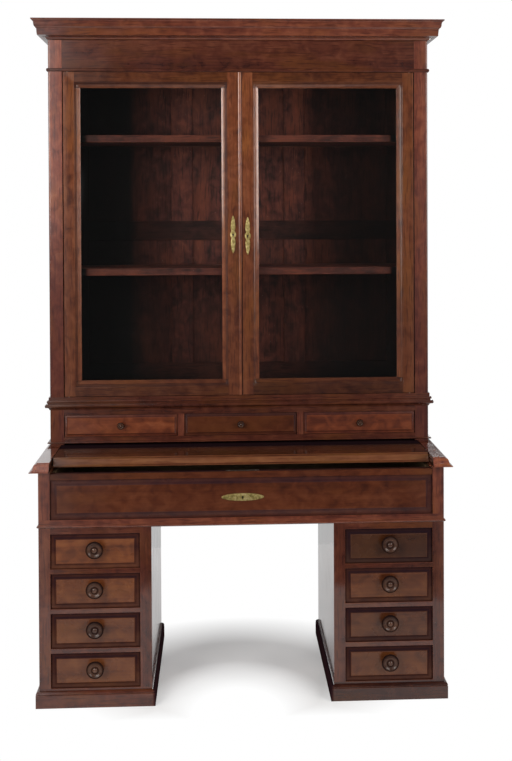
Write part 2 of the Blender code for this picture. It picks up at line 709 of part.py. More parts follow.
def waist_steps():
    """Steps up the waist moulding: a hollow, a large bead, a small bead and a flat."""
    steps = [(LEDGE_FALL, WAIST_FOOT_OUT)] + quarter(WAIST_HOLLOW_OUT, WAIST_HOLLOW_H, True)
    steps += [(LEDGE_FALL, WAIST_LIP_OUT)] + half_round(WAIST_BEAD_H, WAIST_BEAD_OUT)
    steps += [(LEDGE_FALL, -WAIST_LEDGE_IN), (WAIST_LEDGE_H, 0.0)]
    steps += half_round(WAIST_SMALL_BEAD_H, WAIST_SMALL_BEAD_OUT) + [(LEDGE_FALL, -WAIST_TOP_IN)]
    risen = sum(rise for rise, spread in steps)
    return steps + [(WAIST_H - SEAT_GAP - risen, 0.0)]


def small_openings():
    """Left and right of each small drawer's opening."""
    width = (2 * STILE_X - (SMALL_DRAWERS - 1) * SMALL_DIVIDER_W) / SMALL_DRAWERS
    pitch = width + SMALL_DIVIDER_W
    return [(-STILE_X + pitch * number, -STILE_X + pitch * number + width) for number in range(SMALL_DRAWERS)]


def make_bookcase_base():
    """The foot of the bookcase: a frame for the small drawers, with its mouldings and the floor over it."""
    front_x = STILE_X - SEAT_GAP
    rear_x = INSIDE_X - SEAT_GAP
    shoulder = CASE_FRONT + FRAME_T + SEAT_GAP
    base = box("bookcase_base", PARTS, (-rear_x, rear_x), (shoulder, DESK_BACK), (BASE_Z, DOOR_Z))
    rails_y = (CASE_FRONT, shoulder + LAP)
    join(base, cutter("base_rails", [((-front_x, front_x), rails_y, (BASE_Z + SEAT_GAP, DOOR_Z - SEAT_GAP))]))
    floor_under = DOOR_Z - FLOOR_T
    openings = []
    hollows = []
    for left, right in small_openings():
        openings.append(((left, right), (CASE_FRONT - OVERCUT, INSIDE_BACK), (SMALL_FLOOR_Z, SMALL_TOP_Z)))
        hollow_x = (left - DIVIDER_STEP, right + DIVIDER_STEP)
        hollow_y = (CASE_FRONT + FRAME_T, INSIDE_BACK - LAP)
        hollows.append((hollow_x, hollow_y, (SMALL_FLOOR_Z + GUIDE_H, floor_under)))
    cut(base, cutter("small_openings", openings))
    cut(base, cutter("small_hollows", hollows))
    waist = moulding_ring("waist_moulding", WAIST_Z, waist_steps())
    join_ring(base, waist, (WAIST_Z + LAP, DOOR_Z - LAP))
    bead = half_round(BASE_BEAD_H - 2 * SEAT_GAP, BASE_BEAD_OUT) + [(SEAT_GAP, 0.0)]
    bead[0] = (bead[0][0], bead[0][1] + LAP)
    join_ring(base, moulding_ring("base_bead", BASE_Z, bead), (BASE_Z + LAP, BASE_Z + BASE_BEAD_H - LAP))
    cut(base, pin_holes("lower_pin_holes", DOOR_Z, -1))
    seat(base, "mahogany", ROOT)
    knob = knob_profile(SMALL_KNOB_R, SMALL_KNOB_NECK_R, SMALL_KNOB_REACH)
    levels = (SMALL_FLOOR_Z, SMALL_TOP_Z)
    for number, span in enumerate(small_openings(), start=1):
        name = f"small_drawer_{number}"
        make_drawer(name, span, CASE_FRONT, levels, SMALL_BOX_D, SMALL_BORDER_W, knob, SMALL_KNOB_RAISE)


def pin_holes(name, z, sign):
    """Cutter for the two holes that hold a row of pivot pins, into the wood above or below a level."""
    deep = sign * (PIN_L / 2 + SEAT_GAP)
    bm = bmesh.new()
    for x in (-PIVOT_X, PIVOT_X):
        add_rod(bm, PIN_R + PIN_PLAY, (x, PIVOT_Y), sorted((z + deep, z - sign * OVERCUT)))
    return helper(link_bmesh(name, bm, CUTTERS))


def make_bookcase_side(side, sign):
    """A side of the bookcase with its front stile, which stands on the fixed end of the desk top."""
    outer, inner, stile = HALF_W, INSIDE_X, STILE_X
    corner = arc((outer - STILE_ROUND, CASE_FRONT + STILE_ROUND), STILE_ROUND, 0.0, -math.pi / 2, CURVE_STEPS)
    behind = CASE_FRONT + FRAME_T
    stile_edge = [(stile, CASE_FRONT), (stile, behind), (inner, behind)]
    plan = [(sign * x, y) for x, y in [(outer, DESK_BACK)] + corner + stile_edge + [(inner, DESK_BACK)]]
    board = plan_prism(f"bookcase_{side}_side", PARTS, plan, (DESK_Z + SEAT_GAP, CORNICE_Z))
    span = sorted((sign * (inner - OVERCUT), sign * (inner + SHELF_HOUSING)))
    housings = []
    for low in (LOWER_SHELF_Z, UPPER_SHELF_Z):
        levels = (low - SEAT_GAP, low + SHELF_T + SEAT_GAP)
        housings.append((span, (CASE_FRONT + SHELF_SETBACK - SEAT_GAP, DESK_BACK + OVERCUT), levels))
    cut(board, cutter(f"{side}_shelf_housings", housings))
    seat(board, "mahogany", ROOT)


def make_shelves():
    """Two shelves, let into the sides."""
    half = INSIDE_X + SHELF_HOUSING - SEAT_GAP
    depth = (CASE_FRONT + SHELF_SETBACK, INSIDE_BACK - SEAT_GAP)
    for name, low in (("lower_shelf", LOWER_SHELF_Z), ("upper_shelf", UPPER_SHELF_Z)):
        seat(box(name, PARTS, (-half, half), depth, (low, low + SHELF_T)), "mahogany", ROOT)


def make_bookcase_back():
    """The framed back, with six sunk panels."""
    half = INSIDE_X - SEAT_GAP
    low, high = DOOR_Z + SEAT_GAP, CORNICE_Z - SEAT_GAP
    back = box("bookcase_back", PARTS, (-half, half), (INSIDE_BACK, DESK_BACK), (low, high))
    muntin = BACK_MUNTIN_W / 2
    columns = [
        (-half + BACK_STILE_W, -BACK_MUNTIN_X - muntin),
        (-BACK_MUNTIN_X + muntin, BACK_MUNTIN_X - muntin),
        (BACK_MUNTIN_X + muntin, half - BACK_STILE_W),
    ]
    rows = [
        (low + BACK_END_RAIL_H, BACK_RAIL_Z - BACK_RAIL_H / 2),
        (BACK_RAIL_Z + BACK_RAIL_H / 2, high - BACK_END_RAIL_H),
    ]
    depth = (INSIDE_BACK - OVERCUT, INSIDE_BACK + BACK_SUNK)
    panels = [(column, depth, row) for column in columns for row in rows]
    cut(back, cutter("back_panels", panels))
    seat(back, "mahogany", ROOT)


def make_frieze():
    """The board over the doors, with the bead along its foot."""
    half = STILE_X - SEAT_GAP
    board = box("frieze", PARTS, (-half, half), (CASE_FRONT, CASE_FRONT + FRIEZE_T), (FRIEZE_Z, CORNICE_Z))
    bead = half_round(FRIEZE_BEAD_H - 2 * SEAT_GAP, FRIEZE_BEAD_OUT) + [(SEAT_GAP, 0.0)]
    bead[0] = (bead[0][0], bead[0][1] + LAP)
    ring = moulding_ring("frieze_bead", FRIEZE_Z, bead)
    join_ring(board, ring, (FRIEZE_Z + LAP, FRIEZE_Z + FRIEZE_BEAD_H - LAP))
    cut(board, pin_holes("upper_pin_holes", FRIEZE_Z, 1))
    seat(board, "mahogany", ROOT)


def cornice_steps():
    """Steps up the cornice: a hollow, a flat band, and a swelling crown under a top fillet."""
    steps = [(LEDGE_FALL, CORNICE_FOOT_OUT)] + quarter(CORNICE_HOLLOW_OUT, CORNICE_HOLLOW_H, True)
    steps += [(LEDGE_FALL, CORNICE_LIP_OUT), (CORNICE_BAND_H, CORNICE_BAND_LEAN)]
    steps += [(LEDGE_FALL, CORNICE_CROWN_STEP), (CORNICE_CROWN_FOOT_H, 0.0)]
    steps += quarter(CORNICE_SWELL_OUT, CORNICE_SWELL_H, False)
    steps += quarter(CORNICE_FLARE_OUT, CORNICE_FLARE_H, True)
    return steps + [(LEDGE_FALL, CORNICE_TOP_STEP), (CORNICE_TOP_H, 0.0)]


def make_cornice():
    """The cornice, mitred round three sides, hollow under its top board."""
    low = CORNICE_Z + SEAT_GAP
    steps = cornice_steps()
    cornice = moulded(
        "cornice", PARTS, (-HALF_W, HALF_W), (CASE_FRONT, DESK_BACK), (low, low + LAP), UP, steps, THREE_SIDES
    )
    high = low + LAP + sum(rise for rise, spread in steps)
    hollow_x = HALF_W - CORNICE_WALL
    hollow_y = (CASE_FRONT + CORNICE_WALL, DESK_BACK - CORNICE_WALL)
    hollow_z = (low - OVERCUT, high - CORNICE_BOARD_T)
    cut(cornice, cutter("cornice_hollow", [((-hollow_x, hollow_x), hollow_y, hollow_z)]))
    seat(cornice, "mahogany", ROOT)


def door_plan(sign):
    """Plan of a door: its outer edge is rounded about the pivot, so that it turns clear of the stile."""
    back = DOOR_T - PIVOT_DEPTH
    front_angle = math.pi - math.asin(-PIVOT_DEPTH / PIVOT_IN)
    back_angle = math.pi - math.asin(back / PIVOT_IN)
    edge = arc((-PIVOT_X, PIVOT_Y), PIVOT_IN, front_angle, back_angle, ARC_STEPS)
    end = meeting_edge(sign)
    meeting = [(end, PIVOT_Y + back)]
    if sign < 0:
        radius = MEETING_BEAD_W / 2
        swell = (MEETING_BEAD_OUT - MEETING_BEAD_FOOT) / radius
        bead = arc((end - radius, 0.0), radius, 0.0, math.pi, ARC_STEPS)
        meeting += [(x, CASE_FRONT - MEETING_BEAD_FOOT - y * swell) for x, y in bead]
    meeting.append((meeting_flat(sign), CASE_FRONT))
    return [(-sign * x, y) for x, y in edge + meeting]


def meeting_edge(sign):
    """Where a door's edge meets the other door, as seen on the left door."""
    return -sign * MEETING_X - REVEAL / 2


def meeting_flat(sign):
    """Where the flat of a door's meeting stile starts, as seen on the left door, which has the bead."""
    return meeting_edge(sign) - (MEETING_BEAD_W if sign < 0 else 0.0)


def make_door(side, sign):
    """A glazed door on two pivot pins: its moulded frame, its pane and its keyhole plate."""
    pivot = axis_empty(f"{side}_door_pivot", (sign * PIVOT_X, PIVOT_Y, DOOR_Z))
    levels = (DOOR_Z + REVEAL, FRIEZE_Z - REVEAL)
    frame = plan_prism(f"{side}_door_frame", PARTS, door_plan(sign), levels)
    flat = meeting_flat(sign)
    inner = flat - MEETING_STILE_W - DOOR_MOULDING_W
    rail = DOOR_RAIL_W + DOOR_MOULDING_W
    sight_x = sorted((-sign * inner, sign * (STILE_X - DOOR_STILE_W - DOOR_MOULDING_W)))
    sight_z = (levels[0] + rail, levels[1] - rail)
    panel = moulding_cutter(f"{side}_door_moulding", sight_x, sight_z)
    cut(frame, panel)
    groove = GLASS_HOUSING
    pane_y = CASE_FRONT + GLASS_DEPTH
    groove_x = (sight_x[0] - groove, sight_x[1] + groove)
    groove_z = (sight_z[0] - groove, sight_z[1] + groove)
    groove_y = (pane_y - SEAT_GAP, pane_y + GLASS_T + SEAT_GAP)
    cut(frame, cutter(f"{side}_door_glass_groove", [(groove_x, groove_y, groove_z)]))
    holes = bmesh.new()
    deep = PIN_L / 2 + REVEAL
    for low, high in ((levels[0] - OVERCUT, DOOR_Z + deep), (FRIEZE_Z - deep, levels[1] + OVERCUT)):
        add_rod(holes, PIN_R + PIN_PLAY, (sign * PIVOT_X, PIVOT_Y), (low, high))
    cut(frame, helper(link_bmesh(f"{side}_door_pin_holes", holes, CUTTERS)))
    seat(frame, "mahogany", pivot)
    pane_x = (groove_x[0] + SEAT_GAP, groove_x[1] - SEAT_GAP)
    pane_z = (groove_z[0] + SEAT_GAP, groove_z[1] - SEAT_GAP)
    pane = box(f"{side}_door_glass", PARTS, pane_x, (pane_y, pane_y + GLASS_T), pane_z)
    seat(pane, "glass", pivot)
    plate = outlined(f"{side}_door_escutcheon", PARTS, [leaf_plate(), keyhole(0, 0)], PLATE_T)
    plate_x = -sign * (flat - MEETING_STILE_W / 2)
    plate_z = DOOR_PLATE_Z + (LEFT_PLATE_RAISE if sign < 0 else 0.0)
    stand_plate(plate, plate_x, CASE_FRONT - SEAT_GAP - PLATE_T / 2, plate_z)
    seat(plate, "brass", pivot)
    for place, middle in (("lower", DOOR_Z), ("upper", FRIEZE_Z)):
        bm = bmesh.new()
        add_rod(bm, PIN_R, (sign * PIVOT_X, PIVOT_Y), (middle - PIN_L / 2, middle + PIN_L / 2))
        seat(link_bmesh(f"{side}_door_{place}_pin", bm, PARTS), "steel", ROOT)


def moulding_cutter(name, x, z):
    """Cutter for a door's opening: the sight of the glass, flared by the moulding's profile at the front."""
    slope_w = DOOR_MOULDING_W - DOOR_ROUND_W - DOOR_QUIRK
    slope_d = DOOR_MOULDING_D - DOOR_ROUND_D - DOOR_QUIRK
    steps = [(slope_d, slope_w)] + quarter(DOOR_ROUND_W, DOOR_ROUND_D, True)
    steps += [(0.0, DOOR_QUIRK), (DOOR_QUIRK + OVERCUT, 0.0)]
    sight_y = (CASE_FRONT + DOOR_MOULDING_D, CASE_FRONT + DOOR_T + OVERCUT)
    return helper(moulded(name, CUTTERS, x, sight_y, z, FORWARD, steps, FOUR_SIDES))


def smooth_turned_pieces():
    """Shades the knobs and pins round, with their sharp edges kept."""
    for obj in PARTS.objects:
        if obj.name.endswith(("_knob", "_pin")):
            obj.data.shade_smooth()
            obj.data.set_sharp_from_angle(angle=math.radians(40))


def main():
    for side, sign in (("left", -1), ("right", 1)):
        make_pedestal(side, sign)
        make_bookcase_side(side, sign)
        make_door(side, sign)
    make_desk_frame()
    make_sliding_top()
    make_wide_drawer()
    make_bookcase_base()
    make_shelves()
    make_bookcase_back()
    make_frieze()
    make_cornice()
    smooth_turned_pieces()
    bpy.context.view_layer.update()


clear_scene()
PARTS = collection("secretary_bookcase")
CUTTERS = collection("cutters")
ROOT = bpy.data.objects.new("secretary_bookcase_frame", None)
PARTS.objects.link(ROOT)
main()
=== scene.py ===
"""Looks of a mahogany secretary bookcase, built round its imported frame.

Every board is re-made with eased edges and with grain along its own length. Turned knobs, keyhole plates, dovetails,
glass and a white studio go round them.
"""

import json
import logging
import math
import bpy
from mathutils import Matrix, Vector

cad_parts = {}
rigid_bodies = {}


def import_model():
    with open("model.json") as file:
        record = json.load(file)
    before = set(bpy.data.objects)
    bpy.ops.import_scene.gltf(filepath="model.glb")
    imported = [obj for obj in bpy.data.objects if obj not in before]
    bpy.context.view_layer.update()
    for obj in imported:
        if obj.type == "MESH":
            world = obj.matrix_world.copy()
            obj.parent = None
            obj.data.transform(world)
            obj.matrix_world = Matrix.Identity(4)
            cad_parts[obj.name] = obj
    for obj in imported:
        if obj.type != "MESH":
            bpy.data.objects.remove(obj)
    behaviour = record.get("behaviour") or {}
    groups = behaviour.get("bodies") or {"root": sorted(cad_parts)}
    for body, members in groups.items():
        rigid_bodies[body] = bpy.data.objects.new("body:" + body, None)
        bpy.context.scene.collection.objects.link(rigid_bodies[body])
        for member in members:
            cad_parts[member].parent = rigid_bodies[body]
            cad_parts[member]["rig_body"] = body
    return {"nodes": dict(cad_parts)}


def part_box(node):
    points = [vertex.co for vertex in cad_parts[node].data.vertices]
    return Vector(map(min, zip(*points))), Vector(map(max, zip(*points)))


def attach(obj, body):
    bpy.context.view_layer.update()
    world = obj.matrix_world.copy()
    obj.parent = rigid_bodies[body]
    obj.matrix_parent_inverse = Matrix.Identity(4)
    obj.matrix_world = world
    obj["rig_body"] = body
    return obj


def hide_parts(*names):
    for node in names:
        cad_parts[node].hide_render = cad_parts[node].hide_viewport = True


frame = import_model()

import zlib
from collections.abc import Callable, Sequence
from dataclasses import dataclass
from enum import Enum
from functools import cache, partial

import bmesh
import bpy
from mathutils import Matrix, Vector

LOG = logging.getLogger("secretary_bookcase")

Triple = tuple[float, float, float]
Colour = Triple
Span = tuple[float, float]
Socket = bpy.types.NodeSocket
Shell = bmesh.types.BMesh
GrainRule = Callable[[Vector, Vector], "Board"]
# Gives the painted shade at a point, from 0 to 1
ShadeRule = Callable[[Vector], float]

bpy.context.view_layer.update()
IMAGE_W, IMAGE_H = 512, 761

REVEAL = 0.0012  # joint round a drawer front or a door
SEAT_GAP = 0.0003  # between pieces that rest on each other
RUN_GAP = 0.0006  # under a drawer
WELD = 0.00002  # points nearer than this are one
FLAT_ANGLE = math.radians(0.4)  # faces that lie nearer than this in direction are one face
EASED_FROM = math.radians(35)  # edges sharper than this are eased
SMOOTH_BELOW = math.radians(38)
EASING_SEGMENTS = 2
EASING_ROOM = 3  # a face beside an eased edge is broader than so many easings
STOCK_LONG, STOCK_WIDE = 97, 89  # metres of grain from which a board's start is drawn
SIDEWAYS = 0.7  # cosine over which a face looks along an axis
FACE_FORWARD = Matrix.Rotation(math.pi / 2, 4, "X")  # turns what faces up to face the front
GRAIN_MAP = "grain"
WORN = "worn"
# Mesh attribute of painted shade, from 0 to 1, which darkens a point and dulls its polish
PAINTED_SHADE = "sunk"
# Mesh attribute of each board's tone, which on some faces holds painted light or painted shade
TONE = "tone"
LEVEL = 0.58  # level boards look darker than upright ones


class Axis(Enum):
    """Direction along which a board's grain runs."""

    X = 0
    Y = 1
    Z = 2

    @property
    def vector(self) -> Vector:
        """Unit vector along the axis."""
        return Vector([float(number == self.value) for number in range(3)])


class Side(Enum):
    """Side of the whole piece, seen from the front."""

    LEFT = -1
    RIGHT = 1

    @property
    def word(self) -> str:
        """The side as it stands in the names of nodes."""
        return self.name.lower()


@dataclass(frozen=True)
class Board:
    """The board that a face lies on.

    Attributes:
        axis: Direction of its grain.
        number: Its number in its piece.
        tone: How light it is, where 1 is the wood's own colour. On some faces it holds painted light or painted shade.
    """

    axis: Axis
    number: int = 0
    tone: float = 1.0


class Slot(Enum):
    """Material slots of the record that the new pieces use."""

    MAHOGANY = "mahogany"
    DRAWER = "drawer_mahogany"
    OAK = "oak_lining"
    BRASS = "brass"
    STEEL = "steel"


class NodeGraph:
    """Short ways to add and join the nodes of one tree."""

    def __init__(self, tree: bpy.types.NodeTree) -> None:
        """Keeps the tree that the nodes go into."""
        self.tree = tree

    def add(self, kind: str, inputs: Sequence[object] | dict = (), **settings: object) -> bpy.types.Node:
        """Adds a node and fills its inputs.

        Args:
            kind: The node's type name.
            inputs: What goes into its inputs, in order or by their names or numbers.
            settings: Values of the node's own properties.

        Returns:
            The new node.
        """
        node = self.tree.nodes.new(kind)
        for name, value in settings.items():
            setattr(node, name, value)
        self.fill(node, inputs)
        return node

    def fill(self, node: bpy.types.Node, inputs: Sequence[object] | dict) -> None:
        """Fills a node's inputs, given in order or by their names or numbers."""
        for key, value in inputs.items() if isinstance(inputs, dict) else enumerate(inputs):
            self.feed(node.inputs[key], value)

    def feed(self, socket: Socket, value: object) -> None:
        """Links a socket to another one, or sets it to a constant.

        Args:
            socket: The input to fill.
            value: An output socket, a number or a colour.
        """
        if isinstance(value, Socket):
            self.tree.links.new(value, socket)
        elif isinstance(value, tuple) and socket.type == "RGBA":
            socket.default_value = (*value, 1.0)
        else:
            socket.default_value = value

    def math(self, operation: str, *values: object, clamp: bool = False) -> Socket:
        """One sum on numbers or sockets, held between 0 and 1 if it is clamped."""
        return self.add("ShaderNodeMath", values, operation=operation, use_clamp=clamp).outputs[0]

    def vector(self, operation: str, *values: object) -> Socket:
        """One sum on coordinates."""
        return self.add("ShaderNodeVectorMath", values, operation=operation).outputs[0]

    def noise(self, vector: Socket, scale: float, detail: float, bend: float = 0.0) -> Socket:
        """Soft noise around one half, with waves per unit, layers of finer noise and a share of distortion."""
        inputs = {"Vector": vector, "Scale": scale, "Detail": detail, "Distortion": bend}
        return self.add("ShaderNodeTexNoise", inputs).outputs["Fac"]

    def waves(self, vector: Socket, scale: Triple, detail: float, bend: float = 0.0) -> Socket:
        """Soft noise with its own number of waves along each axis."""
        return self.noise(self.vector("MULTIPLY", vector, scale), 1.0, detail, bend)

    def ramp(self, factor: Socket, stops: Sequence[tuple[float, Colour]]) -> Socket:
        """Turns a number into a colour.

        Args:
            factor: The number, from 0 to 1.
            stops: Places and colours along the ramp.

        Returns:
            The colour.
        """
        node = self.add("ShaderNodeValToRGB", (factor,))
        band = node.color_ramp.elements
        while len(band) < len(stops):
            band.new(1.0)
        for element, (place, colour) in zip(band, stops):
            element.position = place
            element.color = (*colour, 1.0)
        return node.outputs["Color"]

    def between(self, value: Socket, source: Span, target: Span) -> Socket:
        """Maps a number from one range to another and holds it there."""
        return self.add("ShaderNodeMapRange", (value, *source, *target)).outputs[0]

    def mix(self, factor: object, first: object, second: object) -> Socket:
        """Blends two colours by the second one's share."""
        return self.add("ShaderNodeMix", {0: factor, 6: first, 7: second}, data_type="RGBA").outputs[2]

    def bump(self, height: Socket, depth: float, below: Socket | None = None) -> Socket:
        """Bends the normal by a height, whose depth is in metres, over a coarser bump."""
        coarser = {} if below is None else {"Normal": below}
        return self.add("ShaderNodeBump", {"Height": height, "Distance": depth, **coarser}).outputs["Normal"]

    def scaled(self, colour: Socket, factor: Socket) -> Socket:
        """Makes a colour lighter or darker."""
        inputs = {"Vector": colour, "Scale": factor}
        return self.add("ShaderNodeVectorMath", inputs, operation="SCALE").outputs[0]

    def attribute(self, name: str) -> Socket:
        """A number that the mesh carries."""
        return self.add("ShaderNodeAttribute", attribute_name=name).outputs["Fac"]

    def objects_place(self) -> Socket:
        """Place on the object, in metres."""
        return self.add("ShaderNodeTexCoord").outputs["Object"]

    def rays(self) -> bpy.types.NodeOutputs:
        """What kind of ray meets the surface."""
        return self.add("ShaderNodeLightPath").outputs

    def show_either(self, factor: Socket, first: bpy.types.Node, second: bpy.types.Node) -> None:
        """Shows a mix of two shaders, by the second one's share."""
        mixed = self.add("ShaderNodeMixShader", (factor, first.outputs[0], second.outputs[0]))
        self.feed(self.tree.nodes["Material Output"].inputs["Surface"], mixed.outputs[0])


@dataclass(frozen=True)
class Finish:
    """What all finishes share: a material that is made once.

    Attributes:
        name: The finish's name.
    """

    name: str

    def material(self) -> bpy.types.Material:
        """Finds the finish's material, or makes it.

        Returns:
            The material.
        """
        found = bpy.data.materials.get(self.name)
        if not found:
            found = bpy.data.materials.new(self.name)
            found.use_nodes = True
            self.paint(NodeGraph(found.node_tree), found.node_tree.nodes["Principled BSDF"])
        return found

    def paint(self, graph: NodeGraph, shader: bpy.types.Node) -> None:
        """Sets up the material's nodes, which each finish does in its own way.

        Args:
            graph: The material's nodes.
            shader: Its main shader.
        """
        raise NotImplementedError


@dataclass(frozen=True)
class Wood(Finish):
    """A wood, with bands and streaks along the grain, mottling across it and open pores.

    Attributes:
        deep: Colour of its dark bands.
        body: Its main colour.
        bright: Colour of its light bands.
        ember: Colour of its warm patches.
        grime: Colour that random age patches lean to, and colour of the painted shade in sunk borders, inner corners
            and other shaded places.
        roughness: Roughness of the polish.
        coat: Weight of the clear polish.
        mottle: Share of the mottling across the grain.
        dashes: How dark the short dashes along its grain are.
        grime_share: How far the painted shade turns the colour to grime.
        gloss: How much of a polished wood's shine it has, where 0.5 is all of it.
    """

    deep: Colour
    body: Colour
    bright: Colour
    ember: Colour
    grime: Colour
    roughness: float
    coat: float
    mottle: float = 0.3
    dashes: float = 0.6
    grime_share: float = 0.94
    gloss: float = 0.5

    # Waves per metre along and across the grain
    WANDER = (2.2, 5.0, 1.0)
    BANDS = (0.7, 26.0, 1.0)
    STREAKS = (3.0, 170.0, 1.0)
    DASHES = (14.0, 170.0, 1.0)
    MOTTLING = (26.0, 34.0, 1.0)
    FLAME = (4.0, 11.0, 1.0)
    PORES = (55.0, 1100.0, 1.0)
    # Waves per metre in all directions
    AGE = 3.1
    SMEARS = 9.0
    ROLL = 7.0
    SWAY = 0.014  # how far the grain wanders to each side
    BAND_SHARE = 0.75  # of the figure that isn't mottling. The rest is streaks
    COAT_ROUGHNESS = 0.06
    ROLL_DEPTH = 0.0004
    PORE_DEPTH = 0.00003

    def paint(self, graph: NodeGraph, shader: bpy.types.Node) -> None:
        """Sets up the wood's nodes.

        Args:
            graph: The material's nodes.
            shader: Its main shader.
        """
        run = graph.add("ShaderNodeUVMap", uv_map=GRAIN_MAP).outputs["UV"]
        place = graph.objects_place()
        sway = graph.between(graph.waves(run, self.WANDER, 2.0), (0.2, 0.8), (-self.SWAY, self.SWAY))
        wavy = graph.vector("ADD", run, graph.add("ShaderNodeCombineXYZ", {"Y": sway}).outputs[0])
        streaks = graph.waves(wavy, self.STREAKS, 2.0)
        dashes = graph.between(graph.waves(wavy, self.DASHES, 1.0), (0.55, 0.66), (0.0, self.dashes))
        pores = graph.between(graph.waves(run, self.PORES, 1.0), (0.60, 0.72), (0.0, 0.4))
        plain = 1.0 - self.mottle
        figure = graph.math("MULTIPLY", graph.waves(wavy, self.BANDS, 3.0), plain * self.BAND_SHARE)
        figure = graph.math("MULTIPLY_ADD", streaks, plain * (1.0 - self.BAND_SHARE), figure)
        figure = graph.math("MULTIPLY_ADD", graph.waves(wavy, self.MOTTLING, 3.0, 0.6), self.mottle, figure)
        colour = graph.ramp(figure, ((0.36, self.deep), (0.50, self.body), (0.64, self.bright)))
        flame = graph.between(graph.waves(wavy, self.FLAME, 3.0), (0.50, 0.66), (0.0, 0.55))
        colour = graph.mix(flame, colour, self.ember)
        colour = graph.mix(graph.math("MAXIMUM", dashes, pores), colour, self.deep)
        age = graph.between(graph.noise(place, self.AGE, 3.0), (0.35, 0.7), (0.0, 0.22))
        colour = graph.scaled(graph.mix(age, colour, self.grime), graph.attribute(TONE))
        worn = graph.attribute(WORN)
        colour = graph.mix(graph.math("MULTIPLY", worn, 0.3, clamp=True), colour, self.bright)
        # Painted shade: the painted-shade attribute, and darkening in the hollow easings, turn the colour to grime and
        # dull the polish
        hollow = graph.math("MULTIPLY", worn, -0.6, clamp=True)
        sunk = graph.math("MAXIMUM", graph.math("MULTIPLY", graph.attribute(PAINTED_SHADE), self.grime_share), hollow)
        eased = graph.math("ABSOLUTE", worn)
        polish = (self.roughness - 0.03, self.roughness + 0.05)
        dull = graph.between(graph.noise(place, self.SMEARS, 4.0), (0.3, 0.7), polish)
        dull = graph.math("MULTIPLY_ADD", eased, 0.22, dull)
        flat = graph.math("MAXIMUM", sunk, graph.math("MULTIPLY", eased, 0.35))
        rolling = graph.bump(graph.noise(place, self.ROLL, 2.0), self.ROLL_DEPTH)
        grooves = graph.math("MULTIPLY_ADD", pores, -1.0, graph.math("MULTIPLY", streaks, 0.8))
        graph.fill(shader, {
            "Base Color": graph.mix(sunk, colour, self.grime),
            "Roughness": graph.math("MULTIPLY_ADD", sunk, 0.3, dull),
            "Specular IOR Level": graph.between(flat, (0.0, 0.7), (self.gloss, 0.0)),
            "Coat Weight": graph.between(flat, (0.0, 0.4), (self.coat, 0.0)),
            "Coat Roughness": self.COAT_ROUGHNESS,
            "Normal": graph.bump(grooves, self.PORE_DEPTH, rolling),
        })


@dataclass(frozen=True)
class Metal(Finish):
    """A metal that has dulled unevenly.

    Attributes:
        dull: Colour where it has tarnished.
        body: Its main colour.
        bright: Colour where it is rubbed.
        roughness: Roughness where it is rubbed.
    """

    dull: Colour
    body: Colour
    bright: Colour
    roughness: float

    STAIN = 95.0  # waves per metre
    STAIN_DEPTH = 0.00012
    SCRATCHES = (900.0, 1.0, 160.0)
    SCRATCH_DEPTH = 0.00004
    TARNISH = 0.22  # how much rougher it is where it has tarnished

    def paint(self, graph: NodeGraph, shader: bpy.types.Node) -> None:
        """Sets up the metal's nodes.

        Args:
            graph: The material's nodes.
            shader: Its main shader.
        """
        place = graph.objects_place()
        stain = graph.noise(place, self.STAIN, 5.0, 0.4)
        rubbed = graph.math("MULTIPLY_ADD", graph.attribute(WORN), 0.12, stain)
        scratches = graph.waves(place, self.SCRATCHES, 2.0)
        graph.fill(shader, {
            "Base Color": graph.ramp(rubbed, ((0.30, self.dull), (0.5, self.body), (0.66, self.bright))),
            "Roughness": graph.between(rubbed, (0.3, 0.7), (self.roughness + self.TARNISH, self.roughness)),
            "Metallic": 1.0,
            "Normal": graph.bump(scratches, self.SCRATCH_DEPTH, graph.bump(stain, self.STAIN_DEPTH)),
        })


@dataclass(frozen=True)
class Pane(Finish):
    """Old clear glass, a little wavy.

    Attributes:
        tint: Colour that the glass gives to what lies behind it.
        index: Index of refraction.
    """

    tint: Colour
    index: float

    # Waves per metre
    SMEAR = (5.0, 1.0, 2.2)
    RIPPLE = (6.0, 1.0, 1.6)
    RIPPLE_DEPTH = 0.0006

    def paint(self, graph: NodeGraph, shader: bpy.types.Node) -> None:
        """Sets up the glass's nodes, which let lamps shine straight through.

        Args:
            graph: The material's nodes.
            shader: Its main shader.
        """
        place = graph.objects_place()
        graph.fill(shader, {
            "Base Color": self.tint,
            "IOR": self.index,
            "Transmission Weight": 1.0,
            "Roughness": graph.between(graph.waves(place, self.SMEAR, 3.0), (0.35, 0.75), (0.0, 0.012)),
            "Normal": graph.bump(graph.waves(place, self.RIPPLE, 1.0), self.RIPPLE_DEPTH),
        })
        clear = graph.add("ShaderNodeBsdfTransparent", {"Color": self.tint})
        graph.show_either(graph.rays()["Is Shadow Ray"], shader, clear)


